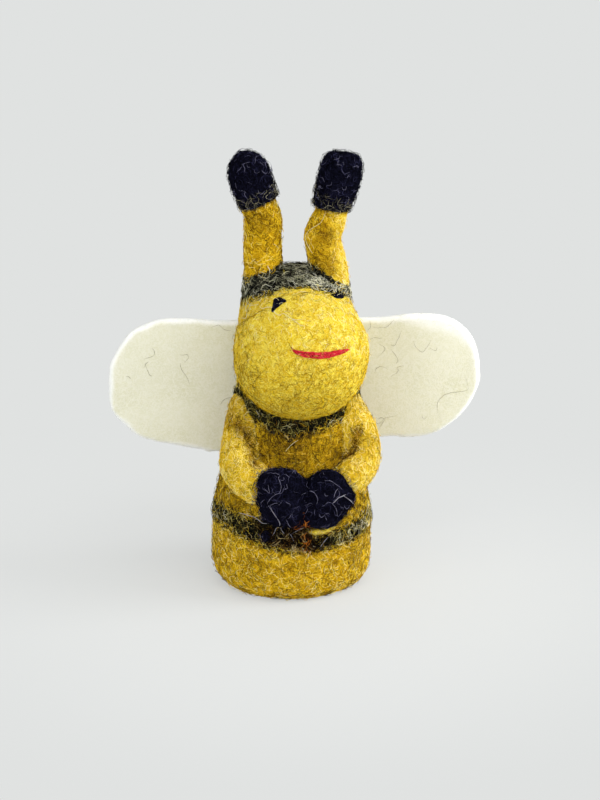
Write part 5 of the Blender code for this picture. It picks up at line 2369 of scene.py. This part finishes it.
    def on_feeler(self, side: str) -> None:
        """The wool of one feeler and its tip.

        Args:
            side: The puppet's own side.
        """
        stalk, tip = side + "_feeler", side + "_feeler_tip"
        mesh, points = self.surface(stalk)
        foot = layer_values(mesh, Layer.SOOT)
        # painted light: the left feeler's side towards the lamps is drawn paler; painted shade
        # darkens its marks
        lit = ease(points[:, 0] / MM, 7.5, 11.0)
        set_layer(mesh, Layer.GLOW, 0.8 * lit)
        set_layer(mesh, Layer.LEAN, 0.3 * lit - 0.28 * shade(stalk, points))
        self.lay(stalk, stalk, LIMB_WOOL, GOLDEN_FIBRES, 1.0 - 0.9 * foot)
        self.lay(side + "_foot", stalk, FOOT_WOOL, CAP_FIBRES, foot)
        self.lay(tip, tip, BLACK_WOOL, BLACK_FIBRES)
        points = places(self.pieces[tip].data)
        _, worn = TIP_RIMS[side].lines(points)
        low = 1.0 - ease(points[:, 2] - worn, 1.4 * MM, 4.2 * MM)
        self.lay(side + "_collar", tip, COLLAR_WOOL, COLLAR_FIBRES, low)


@dataclass
class Details:
    """The eyes, the mouth and the single strands."""

    pieces: dict[str, Object]

    def tree(self, *names: str, more: Sequence[Mesh] = ()) -> BVHTree:
        """A search tree over some of the pieces, and further meshes."""
        return search_tree(*(self.pieces[name].data for name in names), *more)

    def eyes(self, head: Sequence[str]) -> list[Mesh]:
        """Makes the eyes.

        Args:
            head: The pieces that they lie on.

        Returns:
            Their meshes.
        """
        made, skin = [], self.tree(*head)
        for spot, node in ((RIGHT_EYE, "right_eye"), (LEFT_EYE, "left_eye")):
            mesh = spot.mesh(skin)
            ready(dressed("felt_" + node, mesh, BLACK_FELT), Slot.BLACK, node)
            EYE_WOOL.lay("fibres_" + node, mesh, BLACK_FIBRES, 71)
            made.append(mesh)
        return made

    def spots(self) -> None:
        """Makes the black lump and the yellow patch below the hands."""
        low = self.tree("body", "belly_band")
        lump, patch = BLACK_LUMP.mesh(low), YELLOW_PATCH.mesh(low)
        for mesh, finish, slot in (
            (lump, BLACK_FELT, Slot.BLACK), (patch, GOLDEN_FELT, Slot.BRIGHT)
        ):
            set_layer(mesh, Layer.GLOW, 1.0)
            ready(dressed("felt_" + mesh.name, mesh, finish), slot)
        SMALL_WOOL.lay("fibres_yellow_patch", patch, BRIGHT_FIBRES, 75)
        SHAGGY_WOOL.lay("fibres_black_lump", lump, BLACK_FIBRES, 74)

    def mouth(self) -> Mesh:
        """Makes the mouth."""
        mesh = MOUTH.mesh(self.tree("muzzle"))
        ready(dressed("felt_mouth", mesh, RED_FELT), Slot.RED, "mouth")
        MOUTH_WOOL.lay("fibres_mouth", mesh, RED_FIBRES, 72)
        return mesh

    def build(self) -> None:
        """Makes them all."""
        head = ("body", "muzzle", "head_cap")
        eyes = self.eyes(head)
        self.spots()
        mouth = self.mouth()
        face = self.tree(*head, more=eyes)
        hands = ("right_hand", "left_hand")
        low = self.tree("body", "belly_band", *hands)
        for strands, skin in (
            (EYE_STRANDS, search_tree(*eyes)),
            (FACE_THREADS, face),
            (FACE_HAIRS, face),
            (MOUTH_STRAND, search_tree(mouth, self.pieces["muzzle"].data)),
            (BODY_THREADS, self.tree("body", "left_feeler")),
            (HAND_STRANDS, self.tree(*hands)),
            (GREY_HAND_STRANDS, self.tree(*hands)),
            (BELLY_STRANDS, low),
            (ORANGE_FIBRES, low),
        ):
            strands.build(skin)


def main() -> None:
    """Builds the puppet's looks and its studio."""
    logging.basicConfig(level=logging.INFO, format="%(message)s")
    View().camera()
    Studio().build()
    body = HollowBody()
    pieces = Puppet(body).build()
    Fibres(pieces, body).build()
    Details(pieces).build()
    wings = Wings()
    sheet = wings.build(pieces["body"]).data
    wings.hairs(sheet)
    rim = ease(layer_values(sheet, Layer.GLOW), 0.7, 0.9)
    WING_NAP.lay("wing_nap", sheet, NAP_FIBRES, 73, rim)
    Sewing().build()

    boxes = {"cad": CAD_BOX, "visual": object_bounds()}
    low, high = ([round(v / MM, 1) for v in corner] for corner in boxes["visual"])
    log.info("visual box %s to %s mm", low, high)


if __name__ == "__main__":
    main()
